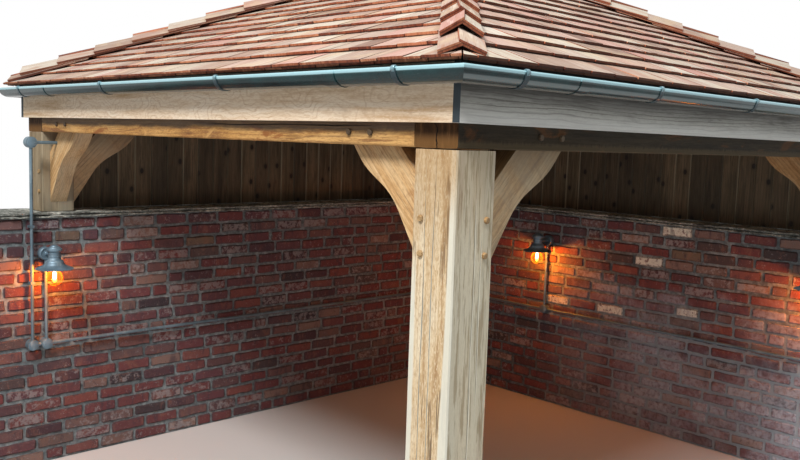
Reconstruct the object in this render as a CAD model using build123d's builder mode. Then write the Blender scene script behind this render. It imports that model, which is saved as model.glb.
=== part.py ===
from build123d import *
import math
import os

os.makedirs("parts", exist_ok=True)

# Timber gazebo: an oak frame with one corner post on the ground and three short posts on an
# L-shaped brick wall, under a shingled pyramid roof with half-round gutters.
# Millimetres. +X runs along the open front, +Y goes back to the brick wall, +Z is up.

# Overall sizes
length = 3800.0            # front and back, over the outer faces of the posts
width = 3600.0             # left and right sides, over the outer faces of the posts
underside = 2035.0         # ground to the underside of the plates
roof_rise = 835.0          # from the outer face of the plates up to the apex, in every roof plane

# Oak frame
post_size = 200.0
post_chamfer = 6.0
plate_depth = 200.0
plate_chamfer = 5.0
brace_thick = 100.0
brace_drop = 425.0         # left and right braces, down the post
brace_run = 375.0          # along the plate
brace_gap = 121.0          # legs of the small open triangle behind each brace
front_brace_drop = 462.0   # front and back braces
front_brace_run = 438.0
front_brace_gap = 165.0
brace_belly = (0.84, 0.18)     # full bend of the swan-neck edge, as shares of the run and drop
brace_hollow = (0.42, 0.41)    # its hollow bend, as shares of the run and drop
brace_bend = 0.72              # radius of both bends, as a share of the run or drop

# Roof frame
rafter_heel = 96.0         # top of the rafters above the plates, at their outer face
rafter_thick = 50.0
rafter_depth = 125.0
rafter_spacing = 450.0
hip_thick = 75.0
hip_depth = 175.0
boss_size = 180.0          # across the flats of the block where the hips meet
boss_pendant = 60.0        # how far that block hangs below the hips

# Roof covering
deck_thick = 20.0
shingle_thick = 25.0       # three shingles on top of each other
shingle_reach = 75.0       # past the outer face of the plates
cap_width = 92.0           # each wing of a hip cap
cap_thick = 58.0           # two short boards on top of each other, raised along the ridge
cap_reach = 97.0

# Fascia and gutters
fascia_thick = 32.0
fascia_bottom = 85.0       # above the underside of the plates
gutter_radius = 50.0
gutter_wall = 2.0
gutter_bead = 7.0          # radius of the rolled front edge
gutter_lip = 256.0         # front edge above the underside of the plates
bracket_width = 25.0
bracket_wall = 3.0
bracket_spacing = 960.0
bracket_inset = 180.0      # first bracket from the corner
union_length = 70.0        # straps over the joints between lengths of gutter
union_wall = 3.0
union_inset = 520.0        # from the corner to a joint

# Brick walls
course = 80.0
courses = 19
brick_length = 240.0
wall_thick = 340.0
wall_inset = 70.0          # the wall stands this much proud of the posts on both sides
wall_run_bricks = 4        # bricks of the back wall past the left side of the frame
coping_thick = 32.0
coping_overhang = 20.0

# Boarding above the walls
board_thick = 22.0
board_gap = 5.0            # between the braces and the face of the boards

# Wall lamps and their conduits
lamp_height = 1232.0       # rim of the shade
lamp_reach = 156.0         # wall to the middle of the shade
shade_radius = 111.0
shade_wall = 3.0
neck_radius = 36.0
cap_radius = 46.0
cap_height = 100.0
lamp_tall = 141.0
arm_radius = 8.0
holder_foot = 48.0         # foot of the neck above the rim
shade_throat = 30.0        # inner radius at the top of the shade
bulb_radius = 47.0
bulb_neck = 13.0
bulb_foot = -105.0         # from the rim
lamp_box_radius = 40.0
lamp_box_depth = 42.0
lamp_box_rise = 74.0       # middle of the wall box above the rim of the shade
lamp_back_x = -22.0        # from the left face of the frame
lamp_right_ys = (95.0, 2190.0)   # from the front face of the frame
conduit_radius = 10.0
conduit_height = 755.0
conduit_post_x = -105.0    # upright run beside the back left post, from the frame's left face
conduit_post_top = 1973.0
saddle_length = 14.0       # blocks that hold the conduit off the wall
saddle_wall = 3.0
post_saddles = (1133.0, 1473.0)   # heights on the upright run
junction_radius = 33.0
junction_depth = 45.0

# Where things stand, worked out from the sizes above
wall_run = wall_run_bricks * brick_length
gutter_reach = fascia_thick + 2 * gutter_radius
overall_reach = gutter_reach + bracket_wall
centre_x = (wall_run + coping_overhang - overall_reach) / 2
left, right = centre_x - length / 2, centre_x + length / 2
front, back = -width / 2, width / 2
wall_top = courses * course
coping_top = wall_top + coping_thick
plate_top = underside + plate_depth
heel = plate_top + rafter_heel
wall_x = right - post_size - wall_inset
wall_y = back - post_size - wall_inset
centre = Vector(centre_x, 0, 0)
up = Vector(0, 0, 1)


class Side:
    """One side of the frame: its outward and sideways directions and its half sizes."""

    def __init__(self, name, outward, half_out, half_along):
        self.name = name
        self.out = Vector(*outward)
        self.along = up.cross(self.out)
        self.half_out = half_out
        self.half_along = half_along
        self.slope = roof_rise / half_out

    def section(self, offset=0.0):
        """Vertical plane across the side: local x runs outward from the middle, local y is up."""
        return Plane(origin=centre + self.along * offset, x_dir=self.out, z_dir=self.along * -1)

    def roof_height(self, reach):
        """Height of the rafter tops at a distance outside the plate's outer face."""
        return heel - self.slope * reach

    def roof_plane(self, lift=0.0):
        """The plane of the rafter tops, raised by lift."""
        normal = self.out * self.slope + up
        return Plane(origin=centre + self.out * self.half_out + up * (heel + lift), z_dir=normal)

    def hip_plane(self, hand, offset=0.0):
        """Vertical plane along a hip, moved into this side by offset."""
        normal = (self.along * (hand * self.half_out) - self.out * self.half_along).normalized()
        return Plane(origin=centre - normal * offset, z_dir=normal)


sides = {
    "front": Side("front", (0, -1, 0), width / 2, length / 2),
    "right": Side("right", (1, 0, 0), length / 2, width / 2),
    "back": Side("back", (0, 1, 0), width / 2, length / 2),
    "left": Side("left", (-1, 0, 0), length / 2, width / 2),
}


def save(builder, name):
    builder.part.label = name
    export_step(builder.part, f"parts/{name}.step")


def save_block(name, low, high):
    """A plain block from its low corner to its high corner."""
    with BuildPart() as block:
        with BuildSketch(Plane.XY.offset(low[2])):
            with Locations(((low[0] + high[0]) / 2, (low[1] + high[1]) / 2)):
                Rectangle(high[0] - low[0], high[1] - low[1])
        extrude(amount=high[2] - low[2])
    save(block, name)


# Posts: the front left one stands on the ground, the other three on the wall
posts = {
    "front_left": (left + post_size / 2, front + post_size / 2, 0.0),
    "front_right": (right - post_size / 2, front + post_size / 2, coping_top),
    "back_left": (left + post_size / 2, back - post_size / 2, coping_top),
    "back_right": (right - post_size / 2, back - post_size / 2, coping_top),
}
for corner, (x, y, foot) in posts.items():
    with BuildPart() as post:
        with BuildSketch(Plane.XY.offset(foot)):
            with Locations((x, y)):
                Rectangle(post_size, post_size)
        extrude(amount=underside - foot)
        chamfer(post.edges().filter_by(Axis.Z), post_chamfer)
    save(post, f"{corner}_post")

# Plates: front and back run through to the corners, left and right butt between them
for name, side in sides.items():
    through = name in ("front", "back")
    half = side.half_along if through else side.half_along - post_size
    with BuildPart() as plate:
        with BuildSketch(side.section()):
            with Locations((side.half_out - post_size / 2, underside + plate_depth / 2)):
                Rectangle(post_size, plate_depth)
        extrude(amount=half, both=True)
        long_edges = plate.edges().filter_by(Axis.X if through else Axis.Y)
        chamfer(long_edges.group_by(Axis.Z)[0], plate_chamfer)
    save(plate, f"{name}_plate")


# Braces: one pair under each plate, centred on its thickness and facing each other
for name, side in sides.items():
    drop, run, gap = brace_drop, brace_run, brace_gap
    if name in ("front", "back"):
        drop, run, gap = front_brace_drop, front_brace_run, front_brace_gap
    belly = (brace_belly[0] * run, -brace_belly[1] * drop)
    hollow = (brace_hollow[0] * run, -brace_hollow[1] * drop)
    bend_radius = brace_bend * min(run, drop)
    with BuildPart() as braces:
        for hand in (-1, 1):
            post_face = side.along * (hand * (side.half_along - post_size))
            middle = side.out * (side.half_out - post_size / 2)
            corner = centre + middle + post_face + up * underside
            with BuildSketch(Plane(corner, x_dir=side.along * -hand, z_dir=side.out * -hand)):
                with BuildLine():
                    Polyline((0, -drop), (0, -gap), (gap, 0), (run, 0))
                    FilletPolyline((run, 0), belly, hollow, (0, -drop),
                                   radius=bend_radius)
                make_face()
            extrude(amount=brace_thick / 2, both=True)
    save(braces, f"{name}_braces")

# Seats: the ring of plates as one shape, cut out of the rafters that rest on it
with BuildPart() as seats:
    with BuildSketch(Plane.XY.offset(underside)):
        with Locations((centre_x, 0)):
            Rectangle(length, width)
            Rectangle(length - 2 * post_size, width - 2 * post_size, mode=Mode.SUBTRACT)
    extrude(amount=plate_depth)

# Boss: the eight-sided block at the apex that the hips and middle rafters butt against
diagonal = math.hypot(length / 2, width / 2)
hip_slope = roof_rise / diagonal
hip_fall = hip_depth * math.hypot(1, hip_slope)
apex = heel + roof_rise
boss_foot = apex - hip_fall - boss_size / 2 * hip_slope - boss_pendant
with BuildPart() as boss:
    with BuildSketch(Plane.XY.offset(boss_foot)):
        with Locations((centre_x, 0)):
            RegularPolygon(boss_size / 2, 8, major_radius=False, rotation=22.5)
    extrude(amount=apex - boss_foot)
    for side in sides.values():
        split(bisect_by=side.roof_plane(), keep=Keep.BOTTOM)
    chamfer(boss.faces().sort_by(Axis.Z)[0].edges(), boss_size / 9)
save(boss, "apex_boss")

# Hip rafters: tops bevelled to both roof planes, feet seated on the plates' corners
with BuildPart() as hips:
    for x, y, foot in posts.values():
        out = Vector(math.copysign(length, x - centre_x), math.copysign(width, y), 0).normalized()
        with BuildSketch(Plane(centre, x_dir=out, z_dir=out.cross(up))):
            with BuildLine():
                Polyline((0, apex), (diagonal, heel), (diagonal, heel - hip_fall),
                         (0, apex - hip_fall), close=True)
            make_face()
        extrude(amount=hip_thick / 2, both=True)
    for side in sides.values():
        split(bisect_by=side.roof_plane(), keep=Keep.BOTTOM)
    with BuildSketch(Plane.XY):
        with Locations((centre_x, 0)):
            Rectangle(length, width)
    extrude(amount=apex, mode=Mode.INTERSECT)
    add(seats.part, mode=Mode.SUBTRACT)
    add(boss.part, mode=Mode.SUBTRACT)
save(hips, "hip_rafters")

# Common and jack rafters of each slope
for name, side in sides.items():
    fall = rafter_depth * math.hypot(1, side.slope)
    count = int((side.half_along - post_size) / rafter_spacing)
    with BuildPart() as rafters:
        for step in range(-count, count + 1):
            with BuildSketch(side.section(step * rafter_spacing)):
                with BuildLine():
                    Polyline((0, apex), (side.half_out, heel), (side.half_out, heel - fall),
                             (0, apex - fall), close=True)
                make_face()
            extrude(amount=rafter_thick / 2, both=True)
        for hand in (-1, 1):
            split(bisect_by=side.hip_plane(hand, hip_thick / 2), keep=Keep.BOTTOM)
        add(seats.part, mode=Mode.SUBTRACT)
        add(boss.part, mode=Mode.SUBTRACT)
    save(rafters, f"{name}_rafters")


def roof_layer(side, reach, low, high, inset=0.0):
    """One slope of a roof layer between two lifts above the rafters, mitred at the hips."""
    outer = side.half_out * (1 + reach / (length / 2))
    edge = side.roof_height(outer - side.half_out)
    with BuildPart() as layer:
        with BuildSketch(side.section()):
            with BuildLine():
                Polyline((0, apex + low), (outer, edge + low), (outer, edge + high),
                         (0, apex + high), close=True)
            make_face()
        extrude(amount=side.half_along + reach, both=True)
        for hand in (-1, 1):
            split(bisect_by=side.hip_plane(hand, inset), keep=Keep.BOTTOM)
    return layer


# Roof boards and shingles
slope_rise = math.hypot(1, roof_rise / (length / 2))
deck_lift = deck_thick * slope_rise
shingle_lift = deck_lift + shingle_thick * slope_rise
cap_lift = shingle_lift + cap_thick * slope_rise
for name, side in sides.items():
    save(roof_layer(side, fascia_thick, 0, deck_lift), f"{name}_roof_boards")
    save(roof_layer(side, shingle_reach, deck_lift, shingle_lift), f"{name}_shingles")

# Hip caps: two wings along every hip, joined at the apex
with BuildPart() as caps:
    for side in sides.values():
        slope = roof_layer(side, cap_reach, shingle_lift, cap_lift).part
        between_wings = roof_layer(side, cap_reach, shingle_lift, cap_lift, cap_width).part
        add(slope - between_wings)
save(caps, "hip_caps")

# Fascia boards: front and back cover the ends of the left and right ones
for name, side in sides.items():
    through = name in ("front", "back")
    low = underside + fascia_bottom
    outer = side.half_out + fascia_thick
    with BuildPart() as fascia:
        with BuildSketch(side.section()):
            with BuildLine():
                Polyline((side.half_out, low), (outer, low), (outer, side.roof_height(fascia_thick)),
                         (side.half_out, heel), close=True)
            make_face()
        extrude(amount=side.half_along + (fascia_thick if through else 0), both=True)
        for other in sides.values():
            split(bisect_by=other.roof_plane(), keep=Keep.BOTTOM)
    save(fascia, f"{name}_fascia")

# Gutters: half-round troughs with a rolled front edge, mitred at the corners, with a strap
# over each joint
lip = underside + gutter_lip
for name, side in sides.items():
    inner = side.half_out + fascia_thick
    middle = inner + gutter_radius
    with BuildPart() as gutter:
        with BuildSketch(side.section()):
            with Locations((middle, lip)):
                Circle(gutter_radius)
                Circle(gutter_radius - gutter_wall, mode=Mode.SUBTRACT)
                with Locations((0, gutter_radius)):
                    Rectangle(2 * gutter_radius, 2 * gutter_radius, mode=Mode.SUBTRACT)
            with Locations((middle + gutter_radius - gutter_bead, lip)):
                Circle(gutter_bead)
        extrude(amount=side.half_along + gutter_reach, both=True)
        for hand in (-1, 1):
            with BuildSketch(side.section(hand * (side.half_along - union_inset))):
                with Locations((middle, lip)):
                    Circle(gutter_radius + union_wall)
                    Circle(gutter_radius - gutter_wall / 2, mode=Mode.SUBTRACT)
                    with Locations((0, gutter_radius + union_wall)):
                        Rectangle(3 * gutter_radius, 2 * (gutter_radius + union_wall),
                                  mode=Mode.SUBTRACT)
                with Locations((middle + gutter_radius, lip)):
                    Rectangle(4 * gutter_radius, 4 * gutter_radius, mode=Mode.INTERSECT)
            extrude(amount=union_length / 2, both=True)
        for hand in (-1, 1):
            corner = centre + side.out * side.half_out + side.along * (hand * side.half_along)
            mitre = side.along * hand - side.out
            split(bisect_by=Plane(origin=corner, z_dir=mitre), keep=Keep.BOTTOM)
    save(gutter, f"{name}_gutter")

# Gutter brackets: straps from the fascia round the trough to its front edge
with BuildPart() as brackets:
    for side in sides.values():
        middle = side.half_out + fascia_thick + gutter_radius
        count = round((2 * side.half_along - 2 * bracket_inset) / bracket_spacing)
        pitch = (2 * side.half_along - 2 * bracket_inset) / count
        for step in range(count + 1):
            place = -side.half_along + bracket_inset + step * pitch
            with BuildSketch(side.section(place)):
                with Locations((middle, lip)):
                    Circle(gutter_radius + bracket_wall)
                    Circle(gutter_radius, mode=Mode.SUBTRACT)
                    with Locations((0, gutter_radius + bracket_wall)):
                        Rectangle(3 * gutter_radius, 2 * (gutter_radius + bracket_wall),
                                  mode=Mode.SUBTRACT)
                with Locations((middle, lip)):
                    with Locations((gutter_radius, 0)):
                        Rectangle(4 * gutter_radius, 4 * gutter_radius, mode=Mode.INTERSECT)
            extrude(amount=bracket_width / 2, both=True)
save(brackets, "gutter_brackets")

# Brick walls: the back wall runs on past the frame's left side, the right wall butts against it
wall_left = left - wall_run
wall_right = wall_x + wall_thick
wall_back = wall_y + wall_thick
save_block("back_wall", (wall_left, wall_y, 0), (wall_right, wall_back, wall_top))
save_block("right_wall", (wall_x, front - wall_inset, 0), (wall_right, wall_y, wall_top))

# Coping slabs on the walls, with a small overhang
inner_edge = wall_y - coping_overhang
outer_x = wall_right + coping_overhang
save_block("back_coping", (wall_left - coping_overhang, inner_edge, wall_top),
           (outer_x, wall_back + coping_overhang, coping_top))
save_block("right_coping", (wall_x - coping_overhang, front - wall_inset - coping_overhang, wall_top),
           (outer_x, inner_edge, coping_top))

# Boarding between the short posts, from the coping to the plates
board_setback = (post_size - brace_thick) / 2 - board_gap   # outer face of the posts to the boards
board_y = back - board_setback
board_x = right - board_setback
save_block("back_boarding", (left + post_size, board_y, coping_top),
           (right - post_size, board_y + board_thick, underside))
save_block("right_boarding", (board_x, front + post_size, coping_top),
           (board_x + board_thick, back - post_size, underside))


# Wall lamps: each stands on its wall at base and points out into the open
lamps = [(Vector(left + lamp_back_x, wall_y, 0), Vector(0, -1, 0))]
lamps += [(Vector(wall_x, front + y, 0), Vector(-1, 0, 0)) for y in lamp_right_ys]


def lamp_body(base, out):
    """Round wall box, short arm, lampholder and flared shade."""
    sideways = up.cross(out)
    wall_plane = Plane(base + up * (lamp_height + lamp_box_rise), x_dir=sideways, z_dir=out)
    axis_plane = Plane(base + out * lamp_reach + up * lamp_height, x_dir=sideways, z_dir=out)
    with BuildPart() as body:
        with BuildSketch(wall_plane):
            Circle(lamp_box_radius)
        extrude(amount=lamp_box_depth)
        with BuildSketch(wall_plane):
            Circle(arm_radius)
        extrude(amount=lamp_reach)
        with BuildSketch(axis_plane):
            with BuildLine():
                Polyline((0, lamp_tall), (cap_radius, cap_height), (neck_radius, cap_height),
                         (neck_radius, holder_foot), (shade_radius, 0),
                         (shade_radius, -shade_wall), (shade_throat, holder_foot - shade_wall),
                         (0, holder_foot - shade_wall), close=True)
            make_face()
        revolve(axis=Axis(origin=axis_plane.origin, direction=(0, 0, 1)))
    return body


def bulb(base, out):
    """A globe bulb under the neck: widest below the rim, blunt at the end."""
    plane = Plane(base + out * lamp_reach + up * lamp_height, x_dir=up.cross(out), z_dir=out)
    with BuildPart() as glass:
        with BuildSketch(plane):
            with BuildLine():
                Polyline((0, bulb_foot), (0.6 * bulb_radius, bulb_foot),
                         (bulb_radius, bulb_foot + bulb_radius),
                         (0.6 * bulb_radius, bulb_foot + 1.8 * bulb_radius),
                         (bulb_neck, bulb_foot + 2.3 * bulb_radius),
                         (bulb_neck, holder_foot - shade_wall), (0, holder_foot - shade_wall),
                         close=True)
            make_face()
        revolve(axis=Axis(origin=plane.origin, direction=(0, 0, 1)))
    return glass


with BuildPart() as lamp_bodies:
    for base, out in lamps:
        add(lamp_body(base, out).part)
save(lamp_bodies, "wall_lamps")
with BuildPart() as bulbs:
    for base, out in lamps:
        add(bulb(base, out).part)
save(bulbs, "lamp_bulbs")


def pipe(start, end, radius=conduit_radius):
    """A straight round bar from start to end."""
    with BuildPart() as run:
        with BuildSketch(Plane(start, z_dir=end - start)):
            Circle(radius)
        extrude(amount=(end - start).length)
    return run.part


def saddle(place, along, out):
    """A block round the conduit that holds it off the wall."""
    width = 2 * (conduit_radius + saddle_wall)
    with BuildPart() as clip:
        with BuildSketch(Plane(place, x_dir=out, z_dir=along)):
            with Locations(((width / 2 - stand_off) / 2, 0)):
                Rectangle(stand_off + width / 2, width)
        extrude(amount=saddle_length / 2, both=True)
    return clip.part


# Conduits: just clear of the coping's edge, held off the walls by saddles and junction boxes
stand_off = coping_overhang + conduit_radius
line_y, line_x = wall_y - stand_off, wall_x - stand_off
from_back_wall, from_right_wall = Vector(0, -1, 0), Vector(-1, 0, 0)
post_line_x = left + conduit_post_x
lamp_line_x = left + lamp_back_x
back_low = Vector(post_line_x, line_y, conduit_height)
back_lamp_low = Vector(lamp_line_x, line_y, conduit_height)
corner_low = Vector(line_x, line_y, conduit_height)
right_lows = [Vector(line_x, front + y, conduit_height) for y in lamp_right_ys]
post_high = Vector(post_line_x, line_y, conduit_post_top)
stub = Vector(post_size / 2 - brace_thick / 2 - conduit_post_x, 0, 0)
lamp_rise = up * (lamp_height + lamp_box_rise - lamp_box_radius - conduit_height)
with BuildPart() as conduit:
    add(pipe(back_low, corner_low))
    add(pipe(corner_low, right_lows[0]))
    add(pipe(back_low, post_high))
    add(pipe(post_high, post_high + stub))
    for low in (back_lamp_low, *right_lows):
        add(pipe(low, low + lamp_rise))
    for z in post_saddles:
        add(saddle(Vector(post_line_x, line_y, z), up, from_back_wall))
    for low in (back_low, back_lamp_low, post_high):
        on_wall = Vector(low.X, wall_y, low.Z)
        add(pipe(on_wall, on_wall + from_back_wall * junction_depth, junction_radius))
    for low in right_lows:
        on_wall = Vector(wall_x, low.Y, low.Z)
        add(pipe(on_wall, on_wall + from_right_wall * junction_depth, junction_radius))
save(conduit, "wall_conduit")
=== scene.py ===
# %% [markdown]
# # A timber gazebo in Blender
#
# The gazebo is an oak frame with a shingled pyramid roof. One corner post stands on the ground, and
# three short posts stand on an L-shaped wall of old bricks. The frame's exact solids come from a CAD
# file, and this lesson dresses them. Pieces that are right in shape keep their CAD mesh and get a
# better finish, and pieces made of many small parts, such as the walls and the roof, are built
# again brick by brick and shingle by shingle.
#
# The vector noise of mathutils starts from the clock unless it is given a seed, so it gets one here,
# and the walls and the roof come out the same every time.
#
# Everything is in metres. +X runs along the open front, +Y goes back to the brick wall, +Z is up.

# %% load the frame
import math
import random

import bmesh
import bpy
from mathutils import Matrix, Vector, noise


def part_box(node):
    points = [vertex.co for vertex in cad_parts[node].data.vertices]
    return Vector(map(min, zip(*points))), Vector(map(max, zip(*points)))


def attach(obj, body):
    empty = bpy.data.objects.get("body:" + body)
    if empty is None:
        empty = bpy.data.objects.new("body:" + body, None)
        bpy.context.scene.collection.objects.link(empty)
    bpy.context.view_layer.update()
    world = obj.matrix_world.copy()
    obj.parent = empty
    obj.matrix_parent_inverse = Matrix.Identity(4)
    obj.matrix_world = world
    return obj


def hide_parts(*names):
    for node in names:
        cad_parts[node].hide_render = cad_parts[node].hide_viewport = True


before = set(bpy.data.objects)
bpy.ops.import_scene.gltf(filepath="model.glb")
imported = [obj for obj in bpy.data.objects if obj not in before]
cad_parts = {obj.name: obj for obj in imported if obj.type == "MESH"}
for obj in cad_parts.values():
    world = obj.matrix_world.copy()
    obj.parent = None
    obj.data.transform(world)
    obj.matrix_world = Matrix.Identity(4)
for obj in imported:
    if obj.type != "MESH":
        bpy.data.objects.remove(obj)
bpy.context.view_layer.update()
noise.seed_set(7)

# %% [markdown]
# ## Where things stand
#
# A piece that is built again has to land exactly where its solid was. So the sizes are not typed in
# again: they are read from the boxes of the CAD nodes. Only what the CAD leaves to this script, such
# as the height of a shingle course, is written here as a new value.

# %% sizes read from the frame
post_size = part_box("front_left_post")[1].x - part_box("front_left_post")[0].x
left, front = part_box("front_left_post")[0].x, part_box("front_left_post")[0].y
right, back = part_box("back_right_post")[1].x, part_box("back_right_post")[1].y
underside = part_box("front_plate")[0].z
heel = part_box("front_fascia")[1].z
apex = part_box("apex_boss")[1].z
deck_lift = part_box("front_roof_boards")[1].z - apex
shingle_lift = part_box("front_shingles")[1].z - apex
cap_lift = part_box("hip_caps")[1].z - apex
roof_rise = apex - heel
centre = Vector(((left + right) / 2, (front + back) / 2, 0))
east, north, up = Matrix.Identity(3)
print("frame", round(right - left, 3), "by", round(back - front, 3), "apex", round(apex, 3))


class Side:
    """One side of the gazebo: its outward and sideways directions and its roof slope."""

    def __init__(self, name, out):
        self.name = name
        self.out = out
        self.along = up.cross(out)
        sizes = ((right - left) / 2, (back - front) / 2)
        self.half_out = sizes[0] if self.out.x else sizes[1]
        self.half_along = sizes[1] if self.out.x else sizes[0]
        self.pitch = math.atan2(roof_rise, self.half_out)

    def upright(self, along, out, height):
        """A point by its place along the side, its distance outside the posts and its height."""
        return centre + self.along * along + self.out * (self.half_out + out) + up * height

    def slope_space(self):
        """A matrix: x along the eaves, y up the slope from the posts' outer face, z off the rafters."""
        climb = self.out * -math.cos(self.pitch) + up * math.sin(self.pitch)
        off = self.out * math.sin(self.pitch) + up * math.cos(self.pitch)
        turn = Matrix((self.along, climb, off)).transposed().to_4x4()
        return Matrix.Translation(self.upright(0, 0, heel)) @ turn

    def hip_normal(self, hand):
        """Level direction out of this slope across its hip, for the hip on the + or - side."""
        return (self.along * hand * self.half_out - self.out * self.half_along).normalized()


sides = {name: Side(name, out) for name, out in {
    "front": -north, "right": east, "back": north, "left": -east}.items()}
for side in sides.values():
    print(side.name, "pitch", round(math.degrees(side.pitch), 1))

# %% [markdown]
# ## The camera
#
# The photograph was taken from outside the open corner, at eye height, looking along the diagonal
# and slightly down. Its vanishing points give the direction, and the size of the post gives the
# distance. Three angles are easier to read as directions than as an Euler triple, so the camera's
# own axes are worked out and put in its matrix.

# %% camera
heading, tilt, roll = math.radians(44.1), math.radians(-5.9), math.radians(1.9)
eye = Vector((left - 2.122, front - 1.931, 2.059))
ahead = Vector((math.sin(heading) * math.cos(tilt), math.cos(heading) * math.cos(tilt), math.sin(tilt)))
level_right = Vector((math.cos(heading), -math.sin(heading), 0))
level_up = level_right.cross(ahead)
camera_right = level_right * math.cos(roll) + level_up * math.sin(roll)
camera_up = camera_right.cross(ahead)
camera = bpy.data.objects.new("camera", bpy.data.cameras.new("camera"))
camera.data.sensor_width = 36
camera.data.lens = 39.27
camera.matrix_world = Matrix.Translation(eye) @ Matrix(
    (camera_right, camera_up, -ahead)).transposed().to_4x4()
bpy.context.scene.collection.objects.link(camera)
bpy.context.scene.camera = camera
print("camera at", [round(c, 3) for c in eye])

# %% [markdown]
# ## Light and floor
#
# The light is plain and soft: a weak white sky, a wide lamp high on the left that gives the posts a
# bright and a shaded side, and one high in front for the shaded sides and the roof. Both stand high,
# so that the eaves shade the plates, and the inside gets dark, as under any roof. The camera sees a
# white background, and so do gloss and glass, because Light Path raises the sky's strength for them.

# %% sky, lamp and floor
scene = bpy.context.scene
scene.view_settings.view_transform = "Standard"
sky_strength = 0.18
world = bpy.data.worlds.new("sky")
scene.world = world
world.use_nodes = True
sky = world.node_tree
sky.nodes.clear()
path, seen, through, strength, glow, result = (sky.nodes.new(f"ShaderNode{kind}") for kind in (
    "LightPath", "Math", "Math", "MapRange", "Background", "OutputWorld"))
seen.operation = through.operation = "MAXIMUM"
strength.inputs["To Min"].default_value = sky_strength
strength.inputs["To Max"].default_value = 1.0
glow.inputs["Color"].default_value = (1, 1, 1, 1)
for output, socket in ((path.outputs["Is Camera Ray"], seen.inputs[0]),
                       (path.outputs["Is Glossy Ray"], seen.inputs[1]),
                       (seen.outputs[0], through.inputs[0]),
                       (path.outputs["Is Transmission Ray"], through.inputs[1]),
                       (through.outputs[0], strength.inputs["Value"]),
                       (strength.outputs["Result"], glow.inputs["Strength"]),
                       (glow.outputs[0], result.inputs["Surface"])):
    sky.links.new(output, socket)


def new_lamp(name, kind, place, watts, colour):
    """A lamp of one kind at its place."""
    lamp = bpy.data.objects.new(name, bpy.data.lights.new(name, kind))
    lamp.location = place
    lamp.data.energy = watts
    lamp.data.color = colour
    scene.collection.objects.link(lamp)
    return lamp


def soft_lamp(name, place, target, size, watts, colour):
    """A square soft lamp that faces its target."""
    lamp = new_lamp(name, "AREA", place, watts, colour)
    lamp.data.shape = "SQUARE"
    lamp.data.size = size
    lamp.rotation_euler = (Vector(target) - Vector(place)).to_track_quat("-Z", "Y").to_euler()


soft_lamp("key", (-7.1, -3.1, 9.3), (-1.0, -0.5, 1.5), 2.6, 1190, (1.0, 0.97, 0.94))
soft_lamp("front_high", (0.5, -5.0, 10.5), (0.5, -1.0, 2.0), 3.0, 330, (0.95, 0.98, 1.0))

floor_finish = bpy.data.materials.new("pale_floor")
floor_finish.use_nodes = True
floor_sockets = floor_finish.node_tree.nodes["Principled BSDF"].inputs
floor_sockets["Base Color"].default_value = (0.62, 0.62, 0.62, 1)
floor_sockets["Roughness"].default_value = 0.9
bm = bmesh.new()
bmesh.ops.create_grid(bm, x_segments=1, y_segments=1, size=8)
floor_mesh = bpy.data.meshes.new("floor")
bm.to_mesh(floor_mesh)
bm.free()
floor_mesh.materials.append(floor_finish)
floor = bpy.data.objects.new("floor", floor_mesh)
floor.location = (0, 0, -0.002)
scene.collection.objects.link(floor)
print("sky", sky_strength)

# %% [markdown]
# ## Shader maths as Python
#
# A procedural finish is mostly arithmetic on noise. Written as nodes it takes many lines, so a small
# class wraps a socket and lets Python's own operators add the Math nodes. Finish holds one material
# and has a single method that adds any other node: its settings first, then its sockets.

# %% a socket that takes part in sums
def paint(hex_colour):
    """A colour written as on screen, turned into the linear numbers that the shader wants."""
    parts = [int(hex_colour[i:i + 2], 16) / 255 for i in (1, 3, 5)]
    return tuple(p / 12.92 if p <= 0.04045 else ((p + 0.055) / 1.055) ** 2.4 for p in parts) + (1,)


def darker(hex_colour, share):
    """A colour that keeps only a share of its light."""
    return tuple(c * share for c in paint(hex_colour)[:3]) + (1,)


class Signal:
    """A shader socket. Sums, differences and products of it add Math nodes to its finish."""

    def __init__(self, finish, socket):
        self.finish = finish
        self.socket = socket

    def __add__(self, other):
        return self.finish.math("ADD", self, other)

    def __radd__(self, other):
        return self.finish.math("ADD", other, self)

    def __sub__(self, other):
        return self.finish.math("SUBTRACT", self, other)

    def __rsub__(self, other):
        return self.finish.math("SUBTRACT", other, self)

    def __mul__(self, other):
        return self.finish.math("MULTIPLY", self, other)

    def __rmul__(self, other):
        return self.finish.math("MULTIPLY", other, self)


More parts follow.
